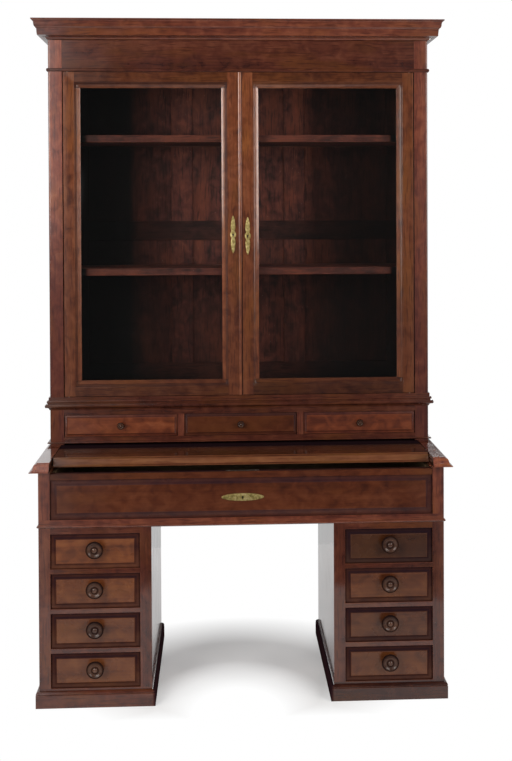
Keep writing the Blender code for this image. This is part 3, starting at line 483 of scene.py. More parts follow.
@dataclass(frozen=True)
class Paper(Finish):
    """White paper that keeps the shadow near the piece and fades to plain white."""

    WHITES = ((0.3, (0.86, 0.86, 0.86)), (0.7, (0.90, 0.90, 0.90)))
    CLOUDS = 3.0  # waves per metre
    MIRRORED = 0.35  # how much of the plain white the polish mirrors
    # Middle and half axes of an oval, distances between which it fades, and shares of plain white there
    ROUND = ((0.0, -0.02), (0.62, 0.53), (0.5, 1.0), (0.12, 1.0))
    KNEEHOLE = ((-0.02, -0.37), (0.33, 0.44), (0.45, 1.0), (1.0, 0.12))
    # Places before the plinths, and shares of plain white there
    BEFORE = ((-0.40, -0.26), (1.0, 0.12))

    def paint(self, graph: NodeGraph, shader: bpy.types.Node) -> None:
        """Sets up the paper's nodes.

        Args:
            graph: The material's nodes.
            shader: Its main shader.
        """
        place = graph.objects_place()
        graph.fill(shader, {
            "Base Color": graph.ramp(graph.noise(place, self.CLOUDS, 2.0), self.WHITES),
            "Roughness": 0.9,
            "Specular IOR Level": 0.1,
        })
        rays = graph.rays()
        seen = graph.math("MULTIPLY_ADD", rays["Is Glossy Ray"], self.MIRRORED, rays["Is Camera Ray"])
        before = graph.between(graph.add("ShaderNodeSeparateXYZ", (place,)).outputs["Y"], *self.BEFORE)
        ovals = [self.oval(graph, place, *oval) for oval in (self.ROUND, self.KNEEHOLE)]
        far = graph.math("MAXIMUM", before, graph.math("MAXIMUM", *ovals))
        graph.show_either(graph.math("MULTIPLY", seen, far), shader, graph.add("ShaderNodeEmission"))

    @staticmethod
    def oval(graph: NodeGraph, place: Socket, middle: Span, size: Span, fade: Span, shares: Span) -> Socket:
        """Share of plain white by the distance from the middle of an oval, which has its edge at 1.

        Args:
            graph: The material's nodes.
            place: Place on the paper.
            middle: The oval's middle.
            size: Its half axes.
            fade: Distances between which the share changes.
            shares: The shares there.

        Returns:
            The share.
        """
        moved = graph.vector("SUBTRACT", place, (*middle, 0.0))
        round_place = graph.vector("MULTIPLY", moved, (1 / size[0], 1 / size[1], 1.0))
        away = graph.add("ShaderNodeVectorMath", (round_place,), operation="LENGTH").outputs["Value"]
        return graph.between(away, fade, shares)


MAHOGANY = Wood(
    "polished_mahogany", (0.056, 0.014, 0.010), (0.138, 0.036, 0.020), (0.215, 0.066, 0.034), (0.200, 0.062, 0.016),
    (0.016, 0.008, 0.011), 0.12, 0.35, mottle=0.4, dashes=0.6,
)
DOOR_MAHOGANY = Wood(
    "door_mahogany", (0.062, 0.017, 0.009), (0.155, 0.044, 0.017), (0.225, 0.074, 0.031), (0.225, 0.074, 0.017),
    (0.014, 0.007, 0.008), 0.12, 0.3, mottle=0.45, dashes=0.6,
)
DRAWER_MAHOGANY = Wood(
    "drawer_front_mahogany", (0.070, 0.017, 0.005), (0.140, 0.038, 0.010), (0.200, 0.064, 0.018),
    (0.190, 0.058, 0.010), (0.012, 0.007, 0.011), 0.27, 0.0, mottle=0.45, dashes=0.12,
)
SMOOTH_MAHOGANY = Wood(
    "smooth_mahogany", (0.072, 0.018, 0.009), (0.146, 0.036, 0.014), (0.205, 0.058, 0.023),
    (0.195, 0.056, 0.015), (0.016, 0.008, 0.013), 0.13, 0.1, mottle=0.5, dashes=0.12,
)
TOP_MAHOGANY = Wood(
    "sliding_top_mahogany", (0.070, 0.020, 0.009), (0.142, 0.046, 0.019), (0.215, 0.084, 0.036),
    (0.200, 0.080, 0.018), (0.014, 0.007, 0.010), 0.12, 0.2, mottle=0.2, dashes=0.3,
)
INSIDE_MAHOGANY = Wood(
    "unpolished_mahogany", (0.012, 0.005, 0.0045), (0.056, 0.0145, 0.010), (0.110, 0.029, 0.0175),
    (0.130, 0.030, 0.014), (0.003, 0.003, 0.003), 0.55, 0.0, mottle=0.5, dashes=0.7, grime_share=1.0, gloss=0.08,
)
KNOB_MAHOGANY = Wood(
    "turned_mahogany", (0.028, 0.011, 0.007), (0.066, 0.027, 0.015), (0.120, 0.050, 0.026), (0.095, 0.038, 0.016),
    (0.006, 0.004, 0.005), 0.2, 0.0, mottle=0.3, dashes=0.4, gloss=0.45,
)
OAK = Wood(
    "dry_oak", (0.170, 0.098, 0.048), (0.270, 0.168, 0.088), (0.360, 0.240, 0.135), (0.300, 0.180, 0.085),
    (0.080, 0.048, 0.026), 0.56, 0.0, mottle=0.2, dashes=0.5, grime_share=0.7, gloss=0.25,
)
BRASS = Metal("tarnished_brass", (0.150, 0.116, 0.038), (0.340, 0.266, 0.100), (0.550, 0.440, 0.205), 0.38)
LOCK_BRASS = Metal("dulled_lock_brass", (0.060, 0.054, 0.044), (0.140, 0.130, 0.110), (0.240, 0.222, 0.190), 0.5)
STEEL = Metal("pivot_steel", (0.110, 0.100, 0.090), (0.320, 0.310, 0.295), (0.500, 0.490, 0.470), 0.32)
# Near-black sheet of painted shadow behind each keyhole
KEYHOLE_SHADOW_IRON = Metal("dark_lock_iron", (0.012, 0.010, 0.009), (0.030, 0.027, 0.025), (0.055, 0.050, 0.046), 0.55)
GLASS = Pane("old_glass", (0.955, 0.975, 0.965), 1.45)
PAPER = Paper("white_floor")


def new_object(name: str, data: bpy.types.ID) -> bpy.types.Object:
    """Links a mesh, a camera or a lamp to the scene.

    Args:
        name: The object's name.
        data: Its mesh, camera or lamp. A mesh has its place in it.

    Returns:
        The object, at the origin.
    """
    made = bpy.data.objects.new(name, data)
    bpy.context.scene.collection.objects.link(made)
    return made


def new_mesh(name: str, shell: Shell) -> bpy.types.Mesh:
    """Turns a shell into a mesh.

    Args:
        name: The mesh's name.
        shell: The shell, which is freed.

    Returns:
        The mesh.
    """
    mesh = bpy.data.meshes.new(name)
    shell.to_mesh(mesh)
    shell.free()
    return mesh


def finish_piece(shell: Shell, name: str, finish: Finish, slot: Slot, node: str, *nodes: str) -> None:
    """Turns a shell into a piece with even shading, which rides with a frame node.

    Args:
        shell: The shell, which is freed.
        name: The piece's name.
        finish: Its finish.
        slot: The record's slot for its finish. Not used.
        node: The frame node whose body carries it.
        nodes: Frame nodes that it stands for.
    """
    for face in shell.faces:
        face.smooth = True
    mesh = new_mesh(name, shell)
    mesh.set_sharp_from_angle(angle=SMOOTH_BELOW)
    mesh.materials.append(finish.material())
    piece = new_object(name, mesh)
    piece.modifiers.new("even_shading", "WEIGHTED_NORMAL").keep_sharp = True
    body = frame["nodes"][node]["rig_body"]
    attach(piece, body)
    if nodes:
        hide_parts(*nodes)
    LOG.info("%s: %d faces, rides on %s", piece.name, len(piece.data.polygons), body)


def paint_node(node: str, finish: Finish) -> None:
    """Gives a frame node that stays as it is its finish.

    Args:
        node: The node's name.
        finish: Its finish.
    """
    shown = frame["nodes"][node]
    shown.data.materials.clear()
    shown.data.materials.append(finish.material())
    LOG.info("%s: kept, with %s", node, finish.name)


def whole_faces(node: str) -> Shell:
    """Copies a frame node as one shell.

    Args:
        node: The node's name.

    Returns:
        The merged shell, with its flat faces whole.
    """
    shell = bmesh.new()
    shell.from_mesh(frame["nodes"][node].data)
    bmesh.ops.remove_doubles(shell, verts=shell.verts, dist=WELD)
    bmesh.ops.dissolve_limit(shell, angle_limit=FLAT_ANGLE, verts=shell.verts, edges=shell.edges)
    shell.normal_update()
    return shell


def ease_edges(shell: Shell, width: float) -> None:
    """Rounds the sharp edges that have room for it, and marks the rounded faces as rubbed or as hollow.

    Args:
        shell: The shell to change.
        width: How far the rounding reaches on each side.
    """
    layer = shell.faces.layers.float.new(WORN)
    breadth = {face: face.calc_area() / max(edge.calc_length() for edge in face.edges) for face in shell.faces}
    edges = [
        edge
        for edge in shell.edges
        if len(edge.link_faces) == 2
        and edge.calc_face_angle(0.0) > EASED_FROM
        and min(breadth[face] for face in edge.link_faces) > EASING_ROOM * width
    ]
    made = bmesh.ops.bevel(
        shell, geom=edges, offset=width, offset_type="OFFSET", segments=EASING_SEGMENTS, profile=0.5, affect="EDGES",
        clamp_overlap=True,
    )
    shell.normal_update()
    for face in made["faces"]:
        middle = face.calc_center_median()
        around = [other for edge in face.edges for other in edge.link_faces if other is not face]
        lean = sum((other.calc_center_median() - middle).normalized().dot(face.normal) for other in around)
        face[layer] = 1.0 if lean < 0 else -1.0


def lay_grain(shell: Shell, name: str, rule: GrainRule) -> None:
    """Gives each face a place on its own board: along the grain, and across it.

    Args:
        shell: The shell to map.
        name: The piece's name, which picks its boards.
        rule: Gives a face's grain and board from its middle and normal.
    """
    layer = shell.loops.layers.uv.new(GRAIN_MAP)
    tones = shell.faces.layers.float.new(TONE)
    for face in shell.faces:
        board = rule(face.calc_center_median(), face.normal)
        face[tones] = board.tone
        along = board.axis.vector
        side = face.normal.cross(along)
        if side.length < 1 - SIDEWAYS:
            along = Axis((board.axis.value + 1) % 3).vector
            side = face.normal.cross(along)
        across = max(Axis, key=lambda choice: abs(side.dot(choice.vector))).vector
        draw = zlib.crc32(f"{name} {board.number}".encode())
        start = Vector((draw % STOCK_LONG, draw // STOCK_LONG % STOCK_WIDE))
        for loop in face.loops:
            loop[layer].uv = start + Vector((loop.vert.co.dot(along), loop.vert.co.dot(across)))


def darken(shell: Shell, shade: ShadeRule) -> None:
    """Marks the painted shade of each point of a shell."""
    layer = shell.verts.layers.float.new(PAINTED_SHADE)
    for vert in shell.verts:
        vert[layer] = shade(vert.co)


def push_face(shell: Shell, face: bmesh.types.BMFace, way: Triple, keep: bool = False) -> None:
    """Draws a face out of a shell, or into it.

    Args:
        shell: The shell.
        face: The face.
        way: How far it goes along each axis.
        keep: Whether a face also stays where it was.
    """
    made = bmesh.ops.extrude_face_region(shell, geom=[face], use_keep_orig=keep)["geom"]
    bmesh.ops.translate(shell, verts=[part for part in made if isinstance(part, bmesh.types.BMVert)], vec=way)
    bmesh.ops.recalc_face_normals(shell, faces=shell.faces)


def cut_across(shell: Shell, parts: list, axis: Axis, level: float) -> None:
    """Cuts parts of a shell along a plane across an axis."""
    bmesh.ops.bisect_plane(shell, geom=parts, plane_co=axis.vector * level, plane_no=axis.vector, dist=WELD)


def straight(axis: Axis, tone: float = 1.0) -> GrainRule:
    """A rule for a single board, whose ends run across."""
    return lambda place, normal: Board(axis, 0, tone)


def wrapped(tone: float) -> GrainRule:
    """A rule for a moulding that turns round the ends.

    Args:
        tone: How light its front is.

    Returns:
        The rule.
    """

    def rule(place: Vector, normal: Vector) -> Board:
        """The board of a face, from its middle and its normal."""
        if abs(normal.x) > SIDEWAYS:
            return Board(Axis.Y, 1 + int(place.x > 0))
        return Board(Axis.X, 0, tone)

    return rule


def seams_at(axis: Axis, *levels: float) -> list[tuple[Axis, float]]:
    """Planes across an axis at which boards meet."""
    return [(axis, level) for level in levels]


def steps_between(stops: Sequence[Span], value: float) -> float:
    """Reads a line of straight stretches at one place.

    Args:
        stops: Places in rising order, each with its value.
        value: The place.

    Returns:
        The value there.
    """
    if value <= stops[0][0]:
        return stops[0][1]
    for (low, first), (high, last) in zip(stops, stops[1:]):
        if value <= high:
            return first + (last - first) * (value - low) / (high - low)
    return stops[-1][1]


@dataclass
class Timber:
    """A wooden node, re-made with eased edges and laid grain.

    Attributes:
        node: The frame node that it stands for.
        rule: Gives the board of each face.
        wood: Its finish.
        slot: Its slot in the record.
        seams: Planes at which its boards meet.
        easing: How far its edges are rounded.
        shade: Gives the painted shade at a point, from 0 to 1.
    """

    node: str
    rule: GrainRule
    wood: Wood = MAHOGANY
    slot: Slot = Slot.MAHOGANY
    seams: Sequence[tuple[Axis, float]] = ()
    easing: float = 0.0008
    shade: ShadeRule | None = None

    def build(self) -> None:
        """Makes the piece, in place of its node."""
        shell = whole_faces(self.node)
        ease_edges(shell, self.easing)
        for axis, level in self.seams:
            cut_across(shell, shell.verts[:] + shell.edges[:] + shell.faces[:], axis, level)
        shell.normal_update()
        lay_grain(shell, self.node, self.rule)
        if self.shade:
            darken(shell, self.shade)
        finish_piece(shell, f"{self.node}_wood", self.wood, self.slot, self.node, self.node)


@dataclass
class TurnedKnob:
    """A turned knob with a beaded boss in a dished face.

    Attributes:
        node: The frame node that it stands for.
        sides: Facets round the knob.
    """

    node: str
    sides: int = 56

    # From the middle of the face to the foot: shares of the radius and of the reach
    PROFILE = (
        (0.0, 0.968), (0.09, 0.965), (0.17, 0.952), (0.24, 0.925), (0.285, 0.885), (0.30, 0.855), (0.33, 0.838),
        (0.365, 0.842), (0.385, 0.835), (0.42, 0.812), (0.50, 0.793), (0.58, 0.803), (0.66, 0.833), (0.72, 0.872),
        (0.755, 0.902), (0.79, 0.907), (0.84, 0.896), (0.90, 0.872), (0.955, 0.827), (0.99, 0.775), (0.995, 0.735),
        (0.98, 0.685), (0.94, 0.635), (0.86, 0.575), (0.74, 0.505), (0.58, 0.435), (0.45, 0.365), (0.38, 0.30),
        (0.355, 0.24), (0.36, 0.17), (0.39, 0.115), (0.455, 0.07), (0.49, 0.04), (0.49, 0.0), (0.0, 0.0),
    )
    FACE_SHARE = 0.97  # of the reach, which the frame node takes up
    # Painted shade from the middle of its face outward: dark in the groove round the boss and on the rim
    SHADE = ((0.26, 0.0), (0.31, 0.8), (0.39, 0.8), (0.5, 0.25), (0.66, 0.1), (0.76, 0.3), (0.88, 0.8), (1.0, 1.0))
    FOOT_SHARE = 0.1  # of the reach
    # Painted shade on the foot
    FOOT_SHADE = 0.8

    def build(self) -> None:
        """Turns the knob, in place of its node."""
        low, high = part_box(self.node)
        self.radius = (high.x - low.x) / 2
        reach = (high.y - low.y) / self.FACE_SHARE
        shell = bmesh.new()
        verts = [shell.verts.new((self.radius * across, 0, reach * along)) for across, along in self.PROFILE]
        edges = [shell.edges.new(pair) for pair in zip(verts, verts[1:])]
        turn = {"axis": (0, 0, 1), "cent": (0, 0, 0), "angle": 2 * math.pi, "steps": self.sides}
        bmesh.ops.spin(shell, geom=verts + edges, use_merge=True, **turn)
        bmesh.ops.remove_doubles(shell, verts=shell.verts, dist=WELD)
        bmesh.ops.recalc_face_normals(shell, faces=shell.faces)
        self.middle = Vector(((low.x + high.x) / 2, high.y, (low.z + high.z) / 2))
        self.foot = high.y - self.FOOT_SHARE * reach
        shell.transform(Matrix.Translation(self.middle) @ FACE_FORWARD)
        shell.normal_update()
        lay_grain(shell, self.node, straight(Axis.X))
        darken(shell, self.face_shade)
        finish_piece(shell, f"{self.node}_turned", KNOB_MAHOGANY, Slot.MAHOGANY, self.node, self.node)

    def face_shade(self, point: Vector) -> float:
        """The painted shade at a point: by its distance from the middle, but fixed on the foot."""
        from_middle = math.hypot(point.x - self.middle.x, point.z - self.middle.z) / self.radius
        return steps_between(self.SHADE, from_middle) if point.y < self.foot else self.FOOT_SHADE


class RowTree:
    """A Geometry Nodes tree that sets one shape in two like rows."""

    INPUTS = (
        ("Shape", "NodeSocketObject"), ("Count", "NodeSocketInt"), ("First", "NodeSocketVector"),
        ("Step", "NodeSocketVector"), ("Across", "NodeSocketVector"), ("Finish", "NodeSocketMaterial"),
    )

    def __init__(self) -> None:
        """Builds the tree."""
        self.tree = bpy.data.node_groups.new("two_rows_of_a_shape", "GeometryNodeTree")
        outline = self.tree.interface
        for way in ("INPUT", "OUTPUT"):
            outline.new_socket("Geometry", in_out=way, socket_type="NodeSocketGeometry")
        self.sockets = [
            outline.new_socket(name, in_out="INPUT", socket_type=kind).identifier for name, kind in self.INPUTS
        ]
        graph = NodeGraph(self.tree)
        given = graph.add("NodeGroupInput").outputs
        spots = {"Count": given["Count"], "Start Location": given["First"], "Offset": given["Step"]}
        line = graph.add("GeometryNodeMeshLine", spots, mode="OFFSET").outputs[0]
        moved = graph.add("GeometryNodeTransform", {"Geometry": line, "Translation": given["Across"]}).outputs[0]
        both = graph.add("GeometryNodeJoinGeometry", (line,))
        graph.feed(both.inputs[0], moved)
        shape = graph.add("GeometryNodeObjectInfo", {"Object": given["Shape"]}).outputs["Geometry"]
        copies = graph.add("GeometryNodeInstanceOnPoints", {"Points": both.outputs[0], "Instance": shape}).outputs[0]
        real = graph.add("GeometryNodeRealizeInstances", (copies,)).outputs[0]
        dressed = graph.add("GeometryNodeSetMaterial", {"Geometry": real, "Material": given["Finish"]}).outputs[0]
        graph.add("NodeGroupOutput", (dressed,))

    def shells(self, shape: Shell, count: int, places: Sequence[Vector], finish: Finish) -> Shell:
        """Sets a shape in two rows.

        Args:
            shape: The shape, about the origin, which is freed.
            count: Copies in a row.
            places: Place of the first copy, step to the next one, and step across to the second row.
            finish: The copies' finish.

        Returns:
            All the copies.
        """
        template = new_object("row_shape", new_mesh("row_shape", shape))
        holder = new_object("row_holder", bpy.data.meshes.new("row_holder"))
        rows = holder.modifiers.new("rows", "NODES")
        rows.node_group = self.tree
        values = (template, count, *(tuple(place) for place in places), finish.material())
        for identifier, value in zip(self.sockets, values):
            rows[identifier] = value
        shown = holder.evaluated_get(bpy.context.evaluated_depsgraph_get())
        made = bpy.data.meshes.new_from_object(shown)
        copies = bmesh.new()
        copies.from_mesh(made)
        for unused in (holder, template):
            bpy.data.objects.remove(unused)
        bpy.data.meshes.remove(made)
        return copies


@cache
def row_tree() -> RowTree:
    """The one tree that sets all the rows."""
    return RowTree()


@dataclass
class Drawer:
    """A drawer: its moulded front, its box with dovetails, and its knob.

    Attributes:
        name: The drawer's name, which its nodes start with.
        wood: Finish of its front.
        slot: The front's slot in the record.
        tone: How light its front is.
        tails: Dovetails at each end of its front.
        box_tone: How light its box is.
        border: How strong the painted shade in the border round its panel is.
        has_knob: Whether it has a knob.
    """

    name: str
    wood: Wood = DRAWER_MAHOGANY
    slot: Slot = Slot.DRAWER
    tone: float = 1.0
    tails: int = 4
    box_tone: float = 1.0
    border: float = 1.0
    has_knob: bool = True

    FRONT_EASING = 0.0005
    BOX_EASING = 0.0009
    BOX_WALL = 0.011  # a little over the thickness of the box's walls
    # Painted shade in a border at depths behind the panel
    BORDER = ((0.0, 0.0), (0.0008, 0.85), (0.0032, 0.95), (0.0042, 0.72), (0.0047, 0.72), (0.005, 1.0))
    EDGE_SHARE = 0.11  # of the front's height, for its foot and for its head
    # Painted shade is lighter along a border's lit foot and heavier along its head
    FOOT_DARK = 0.75
    HEAD_DARK = 1.3
    TAIL_LENGTH = 0.013
    TAIL_THICK = 0.0004
    TAIL_NARROW, TAIL_WIDE = 0.52, 0.72  # heights of a tail, in shares of the pitch

    def build(self) -> None:
        """Makes the drawer's pieces."""
        front = f"{self.name}_front"
        low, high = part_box(front)
        self.panel = low.y + WELD
        self.foot = low.z + self.EDGE_SHARE * (high.z - low.z)
        self.head = high.z - self.EDGE_SHARE * (high.z - low.z)
        rule = straight(Axis.X, self.tone)
        Timber(front, rule, self.wood, self.slot, easing=self.FRONT_EASING, shade=self.border_shade).build()
        Timber(f"{self.name}_box", self.box_grain, OAK, Slot.OAK, easing=self.BOX_EASING).build()
        self.cut_dovetails()
        if self.has_knob:
            TurnedKnob(f"{self.name}_knob").build()

    def border_shade(self, point: Vector) -> float:
        """The painted shade at a point of the front's border: most along its head, least along its lit foot."""
        strength = self.FOOT_DARK if point.z < self.foot else self.HEAD_DARK if point.z > self.head else 1.0
        return min(1.0, self.border * strength * steps_between(self.BORDER, point.y - self.panel))

    def cut_dovetails(self) -> None:
        """Lets the box's dovetails show on both ends of the front."""
        low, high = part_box(f"{self.name}_front")
        box_low, box_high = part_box(f"{self.name}_box")
        pitch = (box_high.z - box_low.z) / self.tails
        shape = bmesh.new()
        bmesh.ops.create_cube(shape, size=1.0)
        for vert in shape.verts:
            height = pitch * (self.TAIL_WIDE if vert.co.y < 0 else self.TAIL_NARROW)
            vert.co = Vector((vert.co.x * self.TAIL_THICK, (vert.co.y - 0.5) * self.TAIL_LENGTH, vert.co.z * height))
        first = Vector((low.x, high.y, box_low.z + pitch / 2))
        places = (first, Vector((0, 0, pitch)), Vector((high.x - low.x, 0, 0)))
        shell = row_tree().shells(shape, self.tails, places, OAK)
        name = f"{self.name}_dovetails"
        lay_grain(shell, name, straight(Axis.Y, self.box_tone))
        finish_piece(shell, name, OAK, Slot.OAK, f"{self.name}_box")

    def box_grain(self, place: Vector, normal: Vector) -> Board:
        """Grain of the box: along its walls, and across its bottom.

        Args:
            place: Middle of a face.
            normal: Its normal.

        Returns:
            The board.
        """
        low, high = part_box(f"{self.name}_box")
        if min(place.x - low.x, high.x - place.x) < self.BOX_WALL:
            return Board(Axis.Y, 1 + int(place.x > low.x + self.BOX_WALL), self.box_tone)
        return Board(Axis.X, 3 if abs(normal.z) > SIDEWAYS else 4, self.box_tone)


@dataclass
class KeyholePlate:
    """A cast brass keyhole plate with a beaded rim, round-headed pins and a near-black sheet of painted shadow behind
    its keyhole.

    Attributes:
        node: The frame node that it stands for.
        along: Direction of its length.
        pin_reach: From its middle to each pin.
    """

    node: str
    along: Axis
    pin_reach: float

    # Rings in from the edge, each with how far the face rises there
    RIM = ((0.0, 0.0), (0.0004, 0.0004), (0.0009, 0.0006), (0.0014, 0.0003), (0.0018, -0.0002))
    SWELL = (0.92, 0.6, 0.0004)  # shares of the length and the width, and the rise, of the swell between the rims
    # Rings out from the keyhole
    COLLAR = ((0.0, 0.0002), (0.0004, 0.0008), (0.0009, 0.0008), (0.0013, 0.0004))
    KEYHOLE_EYE = 0.0025  # below the middle, a point that sees all of the keyhole
    PIN_R = 0.0013
    PIN_SIDES, PIN_RINGS = 12, 6
    PIN_RISE = 0.6  # in shares of its radius
    PIN_OUT = 0.1  # of its radius, from the plate's face to the pin's middle
    SQUARE = 0.99  # cosine over which a face looks straight forward
    ROUNDING = 0.25  # of each stretch of a loop is cut off at both ends

    def build(self) -> None:
        """Makes the plate, its pins and what shows through its keyhole."""
        self.low, self.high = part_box(self.node)
        self.middle = (self.low + self.high) / 2
        self.eye = self.middle - Vector((0, 0, self.KEYHOLE_EYE))
        keyhole, outline = sorted(self.outlines(), key=lambda loop: max((point - self.middle).length for point in loop))
        finish_piece(self.cast(outline, keyhole), f"{self.node}_cast", BRASS, Slot.BRASS, self.node, self.node)
        self.add_keyhole(keyhole)
        self.add_pins()

    def outlines(self) -> list[list[Vector]]:
        """Reads the outline and the keyhole from the frame node.

        Returns:
            Each loop's points in order, with its curves made finer.
        """
        shell = whole_faces(self.node)
        front = {face for face in shell.faces if face.normal.y < -self.SQUARE}
        rim = {edge for edge in shell.edges if sum(face in front for face in edge.link_faces) == 1}
        loops = []
        while rim:
            edge = rim.pop()
            start, vert = edge.verts
            loop = [start.co.copy()]
            while vert is not start:
                loop.append(vert.co.copy())
                edge = next(other for other in vert.link_edges if other in rim)
                rim.discard(edge)
                vert = edge.other_vert(vert)
            loops.append(self.finer(self.finer(loop)))
        shell.free()
        return loops

    def finer(self, loop: Sequence[Vector]) -> list[Vector]:
        """Rounds the corners of a loop and keeps its length.

        Args:
            loop: Points in order.

        Returns:
            Twice as many points, on a rounder line.
        """
        points = []
        for before, point, after in zip((loop[-1], *loop[:-1]), loop, (*loop[1:], loop[0])):
            points += [point.lerp(before, self.ROUNDING), point.lerp(after, self.ROUNDING)]
        number = self.along.value
        longer = max(point[number] for point in loop) - min(point[number] for point in loop)
        longer /= max(point[number] for point in points) - min(point[number] for point in points)
        middle = sum(point[number] for point in loop) / len(loop)
        for point in points:
            point[number] = middle + (point[number] - middle) * longer
        return points

    def cast(self, outline: Sequence[Vector], keyhole: Sequence[Vector]) -> Shell:
        """Makes the plate from rings: a bead along the outline, a low swell, and a bead round the keyhole.

        Args:
            outline: Points of the outline.
            keyhole: Points of the keyhole.

        Returns:
            The closed plate.
        """
        shell = bmesh.new()
        reach = self.high - self.middle
        shrinks = [(1 - inset / reach.x, 1 - inset / reach.z, rise) for inset, rise in self.RIM]
        long, across, rise = self.SWELL
        shrinks.append((long, across, rise) if self.along is Axis.X else (across, long, rise))
        rings, inner = ([[Vector((p.x, self.high.y, p.z)) for p in loop]] for loop in (outline, keyhole))
        away = [point - self.middle for point in outline]
        for wide, tall, rise in shrinks:
            rings.append(
                [Vector((self.middle.x + d.x * wide, self.low.y - rise, self.middle.z + d.z * tall)) for d in away]
            )
        for outset, rise in self.COLLAR:
            level = Vector((0, self.low.y - rise, 0))
            steps = [self.flat(point - self.eye).normalized() * outset for point in keyhole]
            inner.append([level + self.flat(point + step) for point, step in zip(keyhole, steps)])
        borders = [self.bridge(shell, run) for run in (rings, inner)]
        for end in (0, 1):
            edges = [edge for border in borders for edge in border[end]]
            bmesh.ops.triangle_fill(shell, use_beauty=True, edges=edges)
        bmesh.ops.recalc_face_normals(shell, faces=shell.faces)
        return shell

    @staticmethod
    def flat(point: Vector) -> Vector:
        """A point's place in the plane of the plate."""
        return Vector((point.x, 0, point.z))

    @staticmethod
    def bridge(shell: Shell, rings: Sequence[Sequence[Vector]]) -> tuple[list, list]:
        """Joins rings of points with faces.

        Args:
            shell: Where the faces go.
            rings: Rings with as many points each.

        Returns:
            The edges of the first ring and those of the last one.
        """
        runs = [[shell.verts.new(point) for point in ring] for ring in rings]
        for first, second in zip(runs, runs[1:]):
            for number, vert in enumerate(first):
                shell.faces.new((first[number - 1], vert, second[number], second[number - 1]))
        ends = [[shell.edges.get((run[number - 1], vert)) for number, vert in enumerate(run)] for run in runs]
        return ends[0], ends[-1]

    def add_keyhole(self, loop: Sequence[Vector]) -> None:
        """Sets a near-black iron sheet behind the keyhole, as painted shadow in the hole.

        Args:
            loop: The keyhole's points.
        """
        shell = bmesh.new()
        depth = self.high.y - SEAT_GAP / 2
        face = shell.faces.new([shell.verts.new((point.x, depth, point.z)) for point in loop])
        push_face(shell, face, (0, SEAT_GAP / 3, 0), keep=True)
        finish_piece(shell, f"{self.node}_keyhole", KEYHOLE_SHADOW_IRON, Slot.STEEL, self.node)

    def add_pins(self) -> None:
        """Drives a pin in near each end."""
        reach = self.along.vector * self.pin_reach
        first = Vector((self.middle.x, self.low.y - self.PIN_R * self.PIN_OUT, self.middle.z)) - reach
        shape = bmesh.new()
        bmesh.ops.create_uvsphere(shape, u_segments=self.PIN_SIDES, v_segments=self.PIN_RINGS, radius=self.PIN_R)
        shape.transform(FACE_FORWARD @ Matrix.Diagonal((1.0, 1.0, self.PIN_RISE, 1.0)))
        shell = row_tree().shells(shape, 1, (first, Vector(), reach * 2), BRASS)
        finish_piece(shell, f"{self.node}_pins", BRASS, Slot.BRASS, self.node)


@dataclass
class DrawerLock:
    """The lock let into the wide drawer's top edge, with its slotted screws.

    Attributes:
        node: The frame node that it stands for.
        easing: How far its edges are rounded.
        screw_reach: From its middle to each screw.
        screw_r: Radius of a screw's head.
        screw_rise: How far a head stands up.
    """

    node: str = "wide_drawer_lock"
    easing: float = 0.0006
    screw_reach: float = 0.044
    screw_r: float = 0.0034
    screw_rise: float = 0.0004

    SCREW_TAPER = 0.86  # of the radius, at the top of a head
    SCREW_SIDES = 16
    # Sides of a screw's slot, in shares of the radius
    SCREW_SLOT = ((Axis.X, 0.16), (Axis.X, -0.16), (Axis.Y, 0.66), (Axis.Y, -0.66))

    def build(self) -> None:
        """Makes the case and the screws."""
        low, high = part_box(self.node)
        shell = whole_faces(self.node)
        ease_edges(shell, self.easing)
        finish_piece(shell, f"{self.node}_case", LOCK_BRASS, Slot.BRASS, self.node, self.node)
        first = Vector(((low.x + high.x) / 2 - self.screw_reach, (low.y + high.y) / 2, high.z))
        across = Vector((2 * self.screw_reach, 0, 0))
        heads = row_tree().shells(self.screw_head(), 1, (first, Vector(), across), STEEL)
        finish_piece(heads, f"{self.node}_screws", STEEL, Slot.STEEL, self.node)

    def screw_head(self) -> Shell:
        """Makes a slotted head that faces up.

        Returns:
            The head, with its seat at the origin.
        """
        shell = bmesh.new()
        size = {"radius1": self.screw_r, "radius2": self.screw_r * self.SCREW_TAPER, "depth": self.screw_rise * 2}
        bmesh.ops.create_cone(shell, cap_ends=True, segments=self.SCREW_SIDES, **size)
        for axis, share in self.SCREW_SLOT:
            parts = {part for face in self.top(shell) for part in (face, *face.edges, *face.verts)}
            cut_across(shell, list(parts), axis, self.screw_r * share)
        shell.normal_update()
        slot = min(self.top(shell), key=lambda face: face.calc_center_median().length)
        push_face(shell, slot, (0, 0, -self.screw_rise))
        return shell

    @staticmethod
    def top(shell: Shell) -> list[bmesh.types.BMFace]:
        """The faces of a shell that look up."""
        return [face for face in shell.faces if face.normal.z > SIDEWAYS]


